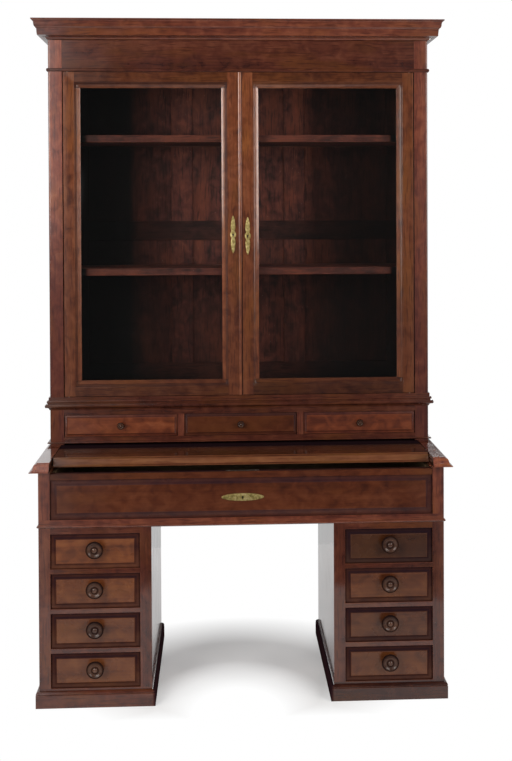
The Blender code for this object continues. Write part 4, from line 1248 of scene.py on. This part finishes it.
@dataclass
class Pedestal:
    """A pedestal on its plinth, with four drawers.

    Attributes:
        side: Which pedestal it is.
        tones: How light its drawers are, from the top one down.
        stile_tone: How light its stiles are.
        plinth_tone: How light its plinth is.
        border: How strong the painted shade in the borders of its drawers is.
    """

    side: Side
    tones: Sequence[float]
    stile_tone: float
    plinth_tone: float
    border: float = 0.85

    PLINTH_OUT = 0.011
    RAIL_PITCH = 0.065  # rails further apart than this are boards of their own

    def build(self) -> None:
        """Makes the case and its drawers."""
        case = f"{self.side.word}_pedestal"
        names = [f"{self.side.word}_drawer_{row}" for row in range(1, len(self.tones) + 1)]
        low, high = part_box(f"{names[0]}_front")
        self.inner = (low.x - REVEAL, high.x + REVEAL)
        self.plinth_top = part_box(f"{names[-1]}_front")[0].z - RUN_GAP
        self.knee = min(abs(corner.x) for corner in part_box(case)) + self.PLINTH_OUT
        seams = seams_at(Axis.X, *self.inner) + seams_at(Axis.Z, self.plinth_top)
        seams += seams_at(Axis.X, self.side.value * (self.knee - REVEAL))
        Timber(case, self.grain, seams=seams, shade=self.plinth_shade).build()
        for name, tone in zip(names, self.tones):
            Drawer(name, tone=tone, border=self.border).build()

    def plinth_shade(self, point: Vector) -> float:
        """Paints shade on the plinth where it stands out into the kneehole."""
        return float(abs(point.x) < self.knee - REVEAL * 1.5)

    def grain(self, place: Vector, normal: Vector) -> Board:
        """Grain of the case: stiles and sides upright, rails and plinth level.

        Args:
            place: Middle of a face.
            normal: Its normal.

        Returns:
            The board.
        """
        middle = sum(self.inner) / 2
        if place.z < self.plinth_top:
            return wrapped(self.plinth_tone)(place - Vector((middle, 0, 0)), normal)
        if self.inner[0] < place.x < self.inner[1] and abs(normal.x) < SIDEWAYS:
            return Board(Axis.X, 10 + round(place.z / self.RAIL_PITCH), LEVEL)
        return Board(Axis.Z, 3 + int(place.x > middle), self.stile_tone)


@dataclass
class Desk:
    """The upper part of the desk: its frame, the sliding top and the wide drawer.

    Attributes:
        stile_tone: How light the stiles beside the wide drawer are.
        drawer_tone: How light the wide drawer is.
        box_tone: How light its box is, kept dark as painted shade where it shows in the gap above the drawer.
        border: How strong the painted shade in the border round its panel is.
        tails: Dovetails at each end of its front.
        pin_reach: From the middle of its keyhole plate to each pin.
        top_tone: How light the face of the sliding top is, darkened as painted shade.
        nosing_tone: How light its nosing is.
        cheek_tone: How light the faces of the fixed ends are that look at the sliding top, kept dark as painted shade.
        end_tone: How light the moulded fronts of the fixed ends are.
        rail_tone: How light the rail under the wide drawer is.
    """

    stile_tone: float = 0.9
    drawer_tone: float = 0.52
    box_tone: float = 0.42
    border: float = 0.72
    tails: int = 5
    pin_reach: float = 0.057
    top_tone: float = 0.36
    nosing_tone: float = 0.92
    cheek_tone: float = 0.12
    end_tone: float = 1.4
    rail_tone: float = 0.85

    # Painted shade on the sliding top at distances in front of the bookcase, where its base overhangs
    SHELTER = ((0.045, 1.0), (0.055, 0.9), (0.075, 0.15), (0.110, 0.0))
    FORWARD = 0.1  # cosine over which a moulded face counts as front

    def build(self) -> None:
        """Makes the pieces."""
        low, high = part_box("wide_drawer_front")
        self.well = high.x + REVEAL
        self.rail_top = low.z - RUN_GAP
        self.top_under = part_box("sliding_top")[0].z - REVEAL
        seams = seams_at(Axis.X, -self.well, self.well) + seams_at(Axis.Z, self.rail_top, self.top_under)
        Timber("desk_frame", self.grain, seams=seams).build()
        self.case_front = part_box("small_drawer_1_front")[0].y
        seams = seams_at(Axis.Y, *(self.case_front - reach for reach, dark in self.SHELTER))
        Timber("sliding_top", self.top_grain, TOP_MAHOGANY, seams=seams, shade=self.top_shade).build()
        Drawer(
            "wide_drawer", SMOOTH_MAHOGANY, Slot.MAHOGANY, self.drawer_tone, self.tails, self.box_tone, self.border,
            has_knob=False,
        ).build()
        KeyholePlate("wide_drawer_escutcheon", Axis.X, self.pin_reach).build()
        DrawerLock().build()

    def top_shade(self, point: Vector) -> float:
        """The painted shade at a point of the sliding top: darkest at its back, under the bookcase's base."""
        return steps_between(self.SHELTER, self.case_front - point.y)

    def top_grain(self, place: Vector, normal: Vector) -> Board:
        """Grain of the sliding top, whose face carries painted shade and is darker than its nosing."""
        return Board(Axis.X, 0, self.top_tone if normal.z > 1 - WELD else self.nosing_tone)

    def grain(self, place: Vector, normal: Vector) -> Board:
        """Grain of the frame: its ends run front to back, its stiles upright, its rail level.

        Args:
            place: Middle of a face.
            normal: Its normal.

        Returns:
            The board.
        """
        end = 1 + int(place.x > 0)
        if place.z > self.top_under and abs(place.x) > self.well - REVEAL:
            inward = place.x * normal.x < 0 and abs(normal.x) > SIDEWAYS
            front = self.end_tone if normal.y < -self.FORWARD else 1.0
            # The faces that look at the sliding top carry painted shade
            return Board(Axis.Y, end, self.cheek_tone if inward else front)
        if abs(place.x) > self.well and place.z > self.rail_top and abs(normal.x) < SIDEWAYS:
            return Board(Axis.Z, 2 + end, self.stile_tone)
        if abs(normal.x) > SIDEWAYS:
            return Board(Axis.Y, 4 + end)
        return Board(Axis.X, 0, self.rail_tone)


@dataclass
class Bookcase:
    """The bookcase: its base with the small drawers, its sides, shelves, back, frieze and cornice.

    Attributes:
        tones: How light the small drawers are, from left to right.
        border: How strong the painted shade in their borders is.
        tails: Dovetails at each end of their fronts.
        muntins: Edges of the back's uprights, right of the middle.
        mid_rail: Low and high edge of the back's middle rail.
        end_rail: Height of the back's top and bottom rail.
        bead_tone: How light the bead along its foot is.
        waist_tone: How light the moulding under the doors is.
        divider_tone: How light the uprights between the small drawers are.
        shelf_tone: How light the shelves are.
        inside_tone: How light the sides are inside, darkened as painted shade.
        cornice_tone: How light the cornice is.
    """

    tones: Sequence[float] = (0.95, 0.48, 1.05)
    border: float = 0.5
    tails: int = 3
    muntins: Span = (0.1725, 0.2515)
    mid_rail: Span = (1.507, 1.579)
    end_rail: float = 0.075
    bead_tone: float = 0.6
    waist_tone: float = 0.5
    divider_tone: float = 0.8
    shelf_tone: float = 0.85
    inside_tone: float = 0.35
    cornice_tone: float = 0.9

    # Painted shade on the back across the piece, and at heights over the floor
    BACK_SHADE = (
        (-0.41, 0.97), (-0.385, 0.75), (-0.36, 0.6), (-0.31, 0.45), (-0.27, 0.3), (-0.22, 0.1), (-0.16, 0.0),
        (0.17, 0.0), (0.22, 0.15), (0.26, 0.4), (0.29, 0.7), (0.45, 0.85),
    )
    LOW_SHADE = ((1.0, 0.5), (1.395, 0.38), (1.41, 0.0))
    # Painted shadow on the ends of the shelves' front edges, across the piece
    SHELF_SHADE = ((-0.545, 1.0), (-0.535, 0.0), (0.535, 0.0), (0.545, 1.0))
    SHELF_EDGE = 0.004
    SHELF_EASING = 0.0015
    # How light the sides' front stiles are, as painted light that is stronger on the left, and their painted shade at
    # heights over the floor
    STILES = {
        Side.LEFT: (1.5, ((1.0, 0.66), (1.35, 0.58), (1.47, 0.48), (1.6, 0.22), (1.78, 0.0))),
        Side.RIGHT: (1.1, ((1.0, 0.55), (1.2, 0.45), (1.5, 0.3), (1.65, 0.22), (1.86, 0.0))),
    }
    STILE_BACK = 0.012
    BEAD_H = 0.0072
    MIDDLE = 0.02  # of the back, as it shows behind the meeting stiles
    # Painted light: the back's right half is drawn lighter
    LIT = 1.3  # how much lighter the back is on its right half
    # How light the back's middle rail, its end rails, its uprights and its panels are
    MID_TONE, END_TONE, MUNTIN_TONE, PANEL_TONE = 0.32, 0.5, 1.1, 0.85

    def build(self) -> None:
        """Makes the pieces."""
        names = [f"small_drawer_{number}" for number in range(1, len(self.tones) + 1)]
        boxes = [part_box(f"{name}_front") for name in names]
        self.dividers = [(left[1].x + REVEAL, right[0].x - REVEAL) for left, right in zip(boxes, boxes[1:])]
        self.drawer_z = (boxes[0][0].z - RUN_GAP, boxes[0][1].z + REVEAL)
        self.bead_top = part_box("bookcase_base")[0].z + self.BEAD_H
        seams = seams_at(Axis.X, *(x for divider in self.dividers for x in divider))
        seams += seams_at(Axis.Z, *self.drawer_z, self.bead_top)
        Timber("bookcase_base", self.base_grain, seams=seams).build()
        for name, tone in zip(names, self.tones):
            Drawer(name, SMOOTH_MAHOGANY, tone=tone, tails=self.tails, border=self.border).build()
        for side, (tone, stops) in self.STILES.items():
            seams = seams_at(Axis.Z, *(z for z, dark in stops))
            shade = partial(self.stile_dark, stops)
            Timber(f"bookcase_{side.word}_side", partial(self.side_grain, tone), seams=seams, shade=shade).build()
        for shelf in ("upper_shelf", "lower_shelf"):
            self.build_shelf(shelf)
        self.build_back()
        Timber("frieze", wrapped(LEVEL)).build()
        Timber("cornice", wrapped(self.cornice_tone)).build()

    def build_shelf(self, shelf: str) -> None:
        """Makes a shelf.

        Args:
            shelf: Its frame node.
        """
        self.shelf_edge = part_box(shelf)[0].y + self.SHELF_EDGE
        seams = seams_at(Axis.X, *(x for x, dark in self.SHELF_SHADE)) + seams_at(Axis.Y, self.shelf_edge)
        rule = straight(Axis.X, self.shelf_tone)
        Timber(
            shelf, rule, INSIDE_MAHOGANY, seams=seams, easing=self.SHELF_EASING, shade=self.shelf_dark
        ).build()

    def build_back(self) -> None:
        """Makes the framed back."""
        self.back_low, self.back_high = low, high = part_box("bookcase_back")
        seams = seams_at(Axis.X, *(x for x, dark in self.BACK_SHADE))
        seams += seams_at(Axis.Z, *(z for z, dark in self.LOW_SHADE))
        seams += seams_at(Axis.X, self.MIDDLE, *self.muntin_edges())
        seams += seams_at(Axis.Z, *self.mid_rail, low.z + self.end_rail, high.z - self.end_rail)
        Timber("bookcase_back", self.back_grain, INSIDE_MAHOGANY, seams=seams, shade=self.back_dark).build()

    def muntin_edges(self) -> list[float]:
        """Edges of the back's uprights, on both sides of the middle."""
        return [side.value * x for side in Side for x in self.muntins]

    def back_dark(self, point: Vector) -> float:
        """The painted shade at a point of the back: none outside."""
        if point.y > self.back_high.y - REVEAL:
            return 0.0
        return 1 - (1 - steps_between(self.BACK_SHADE, point.x)) * (1 - steps_between(self.LOW_SHADE, point.z))

    def shelf_dark(self, point: Vector) -> float:
        """The painted shadow at a point of a shelf: only the ends of its front edge have it."""
        return steps_between(self.SHELF_SHADE, point.x) if point.y < self.shelf_edge - WELD else 0.0

    def stile_dark(self, stops: Sequence[Span], point: Vector) -> float:
        """The painted shade at a point of a side: only its front stile has it."""
        return steps_between(stops, point.z) if point.y < self.STILE_BACK else 0.0

    def back_grain(self, place: Vector, normal: Vector) -> Board:
        """Grain of the back: rails level, uprights and panels upright.

        Args:
            place: Middle of a face.
            normal: Its normal.

        Returns:
            The board.
        """
        lit = self.LIT if place.x > self.MIDDLE and normal.y < 0 else 1.0
        if self.mid_rail[0] < place.z < self.mid_rail[1]:
            return Board(Axis.X, 1, self.MID_TONE * lit)
        if min(place.z - self.back_low.z, self.back_high.z - place.z) < self.end_rail:
            return Board(Axis.X, 2, self.END_TONE)
        column = sum(place.x > edge for edge in self.muntin_edges())
        return Board(Axis.Z, 3 + column, lit * (self.MUNTIN_TONE if column in (1, 3) else self.PANEL_TONE))

    def side_grain(self, tone: float, place: Vector, normal: Vector) -> Board:
        """Grain of a side: upright, with painted shade inside and painted light on its front stile.

        Args:
            tone: How light the stile is.
            place: Middle of a face.
            normal: Its normal.

        Returns:
            The board.
        """
        if normal.y < -SIDEWAYS:
            return Board(Axis.Z, 0, tone)
        inside = place.x * normal.x < 0 and abs(normal.x) > SIDEWAYS
        return Board(Axis.Z, int(inside), self.inside_tone if inside else 1.0)

    def base_grain(self, place: Vector, normal: Vector) -> Board:
        """Grain of the base: dividers upright, rails and mouldings level.

        Args:
            place: Middle of a face.
            normal: Its normal.

        Returns:
            The board.
        """
        for number, (left, right) in enumerate(self.dividers):
            if left < place.x < right and self.drawer_z[0] < place.z < self.drawer_z[1]:
                return Board(Axis.Z, 5 + number, self.divider_tone)
        waist = place.z > self.drawer_z[1]
        tone = self.bead_tone if place.z < self.bead_top else self.waist_tone if waist else LEVEL
        board = wrapped(tone)(place, normal)
        return Board(board.axis, board.number + 10 * int(waist), board.tone)


@dataclass
class Door:
    """A glazed door.

    Attributes:
        side: Which door it is.
        outer: Width of the outer stile's flat.
        meeting: Width of the meeting stile's flat, with the bead where it has one.
        rail: Height of its rails, with their mouldings.
        flat: Height of its rails' flats.
        stile_tone: How light its meeting stile is.
        outer_tone: How light its outer stile is.
        foot_tone: How light its bottom rail is, darkened as painted shade.
        round_dull: How strong the painted shade is that darkens and dulls the round of its glazing moulding.
        pin_reach: From the middle of its keyhole plate to each pin.
    """

    side: Side
    outer: float = 0.041
    meeting: float = 0.037
    rail: float = 0.054
    flat: float = 0.0335
    stile_tone: float = 1.05
    outer_tone: float = 1.0
    foot_tone: float = 0.45
    round_dull: float = 1.0
    pin_reach: float = 0.040

    GLASS_DEPTH = 0.0135
    SLOPE_DEPTH = 0.0052
    SLOPE_LEAN = (0.5, 0.95)  # cosines between which a face lies on the slope to the glass
    # Painted light on the slope to the glass
    SLOPE_LIGHT = 1.35
    # Painted highlight on the meeting bead
    BEAD_LIGHT = 1.5
    BEAD_MIDDLE = 0.0065
    BEAD_TURN = 0.005
    # Painted shade that darkens and dulls the glazing moulding at depths behind the door's face
    ROUND = ((0.0, 0.0), (0.0012, 0.6), (0.0045, 0.6), (0.0052, 0.15), (0.006, 0.0))
    # Painted shade at heights over the floor: on the frame, on the meeting bead, where it also dulls the highlight, and
    # on the bead's right half
    STILE = ((1.0, 0.36), (1.12, 0.33), (1.3, 0.36), (1.5, 0.2), (1.72, 0.1), (1.86, 0.0))
    BEAD = ((1.45, 0.42), (1.82, 0.0))
    JOINT = ((1.3, 1.0), (1.72, 0.35))

    def build(self) -> None:
        """Makes the frame and glazes it."""
        door = f"{self.side.word}_door"
        self.low, self.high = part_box(f"{door}_frame")
        left, right = (self.outer, self.meeting) if self.side is Side.LEFT else (self.meeting, self.outer)
        self.rail_x = (self.low.x + left, self.high.x - right)
        self.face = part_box(f"{door}_glass")[0].y - self.GLASS_DEPTH
        self.bead = self.high.x - self.BEAD_MIDDLE
        mitre = self.rail - self.flat + REVEAL
        seams = seams_at(Axis.X, *self.rail_x, self.rail_x[0] + mitre, self.rail_x[1] - mitre)
        seams += seams_at(Axis.Z, self.low.z + self.flat + mitre, self.high.z - self.flat - mitre)
        seams += seams_at(Axis.Z, *(z for z, dark in (*self.STILE, *self.BEAD)))
        Timber(f"{door}_frame", self.grain, DOOR_MAHOGANY, seams=seams, shade=self.round_shade).build()
        paint_node(f"{door}_glass", GLASS)
        KeyholePlate(f"{door}_escutcheon", Axis.Z, self.pin_reach).build()
        for place in ("lower", "upper"):
            paint_node(f"{door}_{place}_pin", STEEL)

    def round_shade(self, point: Vector) -> float:
        """The painted shade at a point, which also dulls its polish: on the frame by height, on the round of the
        glazing moulding, and on the meeting bead.

        Args:
            point: The point.

        Returns:
            From 0, polished, to 1.
        """
        depth = point.y - self.face
        if depth < -WELD:
            turned = min(1.0, max(0.0, (point.x - self.bead) / self.BEAD_TURN))
            return max(turned * steps_between(self.JOINT, point.z), steps_between(self.BEAD, point.z))
        stile = steps_between(self.STILE, point.z)
        return max(stile, self.round_dull * steps_between(self.ROUND, depth)) if self.in_light(point) else stile

    def in_light(self, point: Vector) -> bool:
        """Whether a point is within the flats of the frame."""
        level = min(point.z - self.low.z, self.high.z - point.z) > self.flat - REVEAL
        return level and self.rail_x[0] - REVEAL < point.x < self.rail_x[1] + REVEAL

    def grain(self, place: Vector, normal: Vector) -> Board:
        """Grain of the frame: stiles run through, rails stand between them.

        Args:
            place: Middle of a face.
            normal: Its normal.

        Returns:
            The board.
        """
        in_rail = min(place.z - self.low.z, self.high.z - place.z) < self.rail
        if self.rail_x[0] < place.x < self.rail_x[1] and in_rail:
            upper = place.z > (self.low.z + self.high.z) / 2
            tone = LEVEL if upper else self.foot_tone
            return Board(Axis.X, 2 + int(upper), tone * self.slope_light(place, normal))
        right = place.x > sum(self.rail_x) / 2
        tone = self.stile_tone if right is (self.side is Side.LEFT) else self.outer_tone
        # Painted highlight on the meeting bead
        tone *= self.BEAD_LIGHT if place.y < self.face - WELD else 1.0
        return Board(Axis.Z, int(right), tone * self.slope_light(place, normal))

    def slope_light(self, place: Vector, normal: Vector) -> float:
        """How much painted light a face has for lying on the slope to the glass."""
        leaning = self.SLOPE_LEAN[0] < -normal.y < self.SLOPE_LEAN[1]
        on_slope = leaning and place.y - self.face > self.SLOPE_DEPTH
        return self.SLOPE_LIGHT if on_slope and self.in_light(place) else 1.0


@dataclass
class Studio:
    """Camera, white floor and soft lamps.

    Attributes:
        focal: The camera's focal length, in pixels of the photograph.
        eye: The camera's place.
        turn: The camera's turns about X, Y and Z.
        shift: The photograph's crop, in shares of its longer side.
        sensor: Width of the camera's sensor, in millimetres.
        floor_r: The floor's radius.
        floor_sides: The floor's facets.
        sky: Light from all round.
    """

    focal: float = 1150.0
    eye: Triple = (-0.074, -4.0456, 1.6124)
    turn: Triple = (math.radians(89.2), 0.0042, -0.0508)
    shift: Span = (-0.0279, -0.2007)
    sensor: float = 36.0
    floor_r: float = 1.5
    floor_sides: int = 96
    sky: float = 0.3

    # Name, place, aim, size, power and colour of each lamp
    LAMPS = (
        ("left_softbox", (-2.15, -3.5, 2.0), (0.0, 0.0, 1.1), (1.4, 2.2), 88.0, (1.0, 0.99, 0.975)),
        ("right_softbox", (2.6, -3.3, 2.0), (0.0, 0.0, 1.1), (1.4, 2.2), 60.0, (1.0, 0.99, 0.975)),
        ("left_strip", (-3.0, -1.84, 2.2), (0.0, 0.0, 1.8), (0.55, 1.3), 24.0, (1.0, 0.91, 0.82)),
        ("right_strip", (3.0, -1.66, 2.1), (0.0, 0.0, 1.8), (0.55, 1.4), 24.0, (1.0, 0.90, 0.83)),
        ("rear_softbox", (0.4, 3.8, 2.8), (0.0, 0.2, 1.0), (2.6, 2.0), 60.0, (1.0, 1.0, 1.0)),
    )
    # What the polish mirrors: directions between which the room changes, and how bright it is there
    ROOM = ((-0.6, 0.5), (0.05, 0.65))
    ROOM_FOOT = ((0.02, 0.16), (1.0, 0.12))
    LEFT_WALL = ((-0.15, -0.125), (0.75, 0.05))
    HIGH_WALL = ((-0.14, -0.115), (1.1, 0.0))
    HIGH_WALL_FOOT = ((-0.035, 0.02), (0.0, 1.0))
    LEFT_END = ((-0.32, -0.22), (0.25, 1.0))
    RIGHT_WALL = ((0.18, 0.21), (0.05, 0.5))
    RIGHT_END = ((0.28, 0.38), (1.0, 0.25))

    def build(self) -> None:
        """Sets up the studio."""
        self.aim_camera()
        self.light_lamps()
        self.spread_floor()
        self.paint_world()
        bpy.context.scene.view_settings.view_transform = "Standard"

    def aim_camera(self) -> None:
        """Puts the camera where the photograph was taken."""
        data = bpy.data.cameras.new("photograph_view")
        data.sensor_width = self.sensor
        data.lens = self.focal / max(IMAGE_W, IMAGE_H) * data.sensor_width
        data.shift_x, data.shift_y = self.shift
        camera = new_object("photograph_view", data)
        camera.location = self.eye
        camera.rotation_euler = self.turn
        bpy.context.scene.camera = camera

    def light_lamps(self) -> None:
        """Hangs the softboxes and strips."""
        for name, place, aim, size, power, colour in self.LAMPS:
            data = bpy.data.lights.new(name, "AREA")
            data.shape = "RECTANGLE"
            data.size, data.size_y = size
            data.energy = power
            data.color = colour
            lamp = new_object(name, data)
            lamp.location = place
            lamp.rotation_euler = (Vector(aim) - Vector(place)).to_track_quat("-Z", "Y").to_euler()

    def spread_floor(self) -> None:
        """Lays the white floor."""
        disc = bmesh.new()
        bmesh.ops.create_circle(disc, cap_ends=True, segments=self.floor_sides, radius=self.floor_r)
        mesh = new_mesh("studio_floor", disc)
        mesh.materials.append(PAPER.material())
        new_object("studio_floor", mesh)

    def paint_world(self) -> None:
        """Makes the surroundings white behind the piece, dim where the polish mirrors the room, and soft elsewhere."""
        world = bpy.data.worlds.new("white_studio")
        world.use_nodes = True
        bpy.context.scene.world = world
        graph = NodeGraph(world.node_tree)
        way = graph.add("ShaderNodeTexCoord").outputs["Generated"]
        x, y, z = graph.add("ShaderNodeSeparateXYZ", (way,)).outputs
        room = graph.math("MULTIPLY", graph.between(y, *self.ROOM), graph.between(z, *self.ROOM_FOOT))
        high_wall = graph.math("MULTIPLY", graph.between(x, *self.HIGH_WALL), graph.between(z, *self.HIGH_WALL_FOOT))
        left_wall = graph.math("MAXIMUM", graph.between(x, *self.LEFT_WALL), high_wall)
        left_wall = graph.math("MULTIPLY", left_wall, graph.between(x, *self.LEFT_END))
        right_wall = graph.math("MULTIPLY", graph.between(x, *self.RIGHT_WALL), graph.between(x, *self.RIGHT_END))
        mirrored = graph.math("MAXIMUM", room, graph.math("MAXIMUM", left_wall, right_wall))
        rays = graph.rays()
        glossy = rays["Is Glossy Ray"]
        soft = graph.math("MULTIPLY", graph.math("SUBTRACT", 1.0, glossy), self.sky)
        level = graph.math("MULTIPLY_ADD", mirrored, glossy, soft)
        turns = graph.math("ADD", rays["Diffuse Depth"], rays["Glossy Depth"])
        straight_on = graph.math("LESS_THAN", turns, 0.5)
        through = graph.math("MULTIPLY", rays["Is Transmission Ray"], straight_on)
        shown = graph.math("MAXIMUM", rays["Is Camera Ray"], through)
        strength = graph.math("MAXIMUM", shown, level)
        graph.fill(world.node_tree.nodes["Background"], {"Color": (1.0, 1.0, 1.0), "Strength": strength})


def main() -> None:
    """Builds the studio and each part of the piece."""
    logging.basicConfig(level=logging.INFO, format="%(message)s")
    Studio().build()
    Pedestal(Side.LEFT, (0.97, 0.82, 0.70, 0.7), 0.62, 0.62).build()
    Pedestal(Side.RIGHT, (0.3, 0.66, 0.54, 0.68), 0.52, 0.3).build()
    Desk().build()
    Bookcase().build()
    Door(Side.LEFT, meeting=0.050, foot_tone=0.6).build()
    Door(Side.RIGHT, outer_tone=0.8, round_dull=0.4).build()


if __name__ == "__main__":
    main()
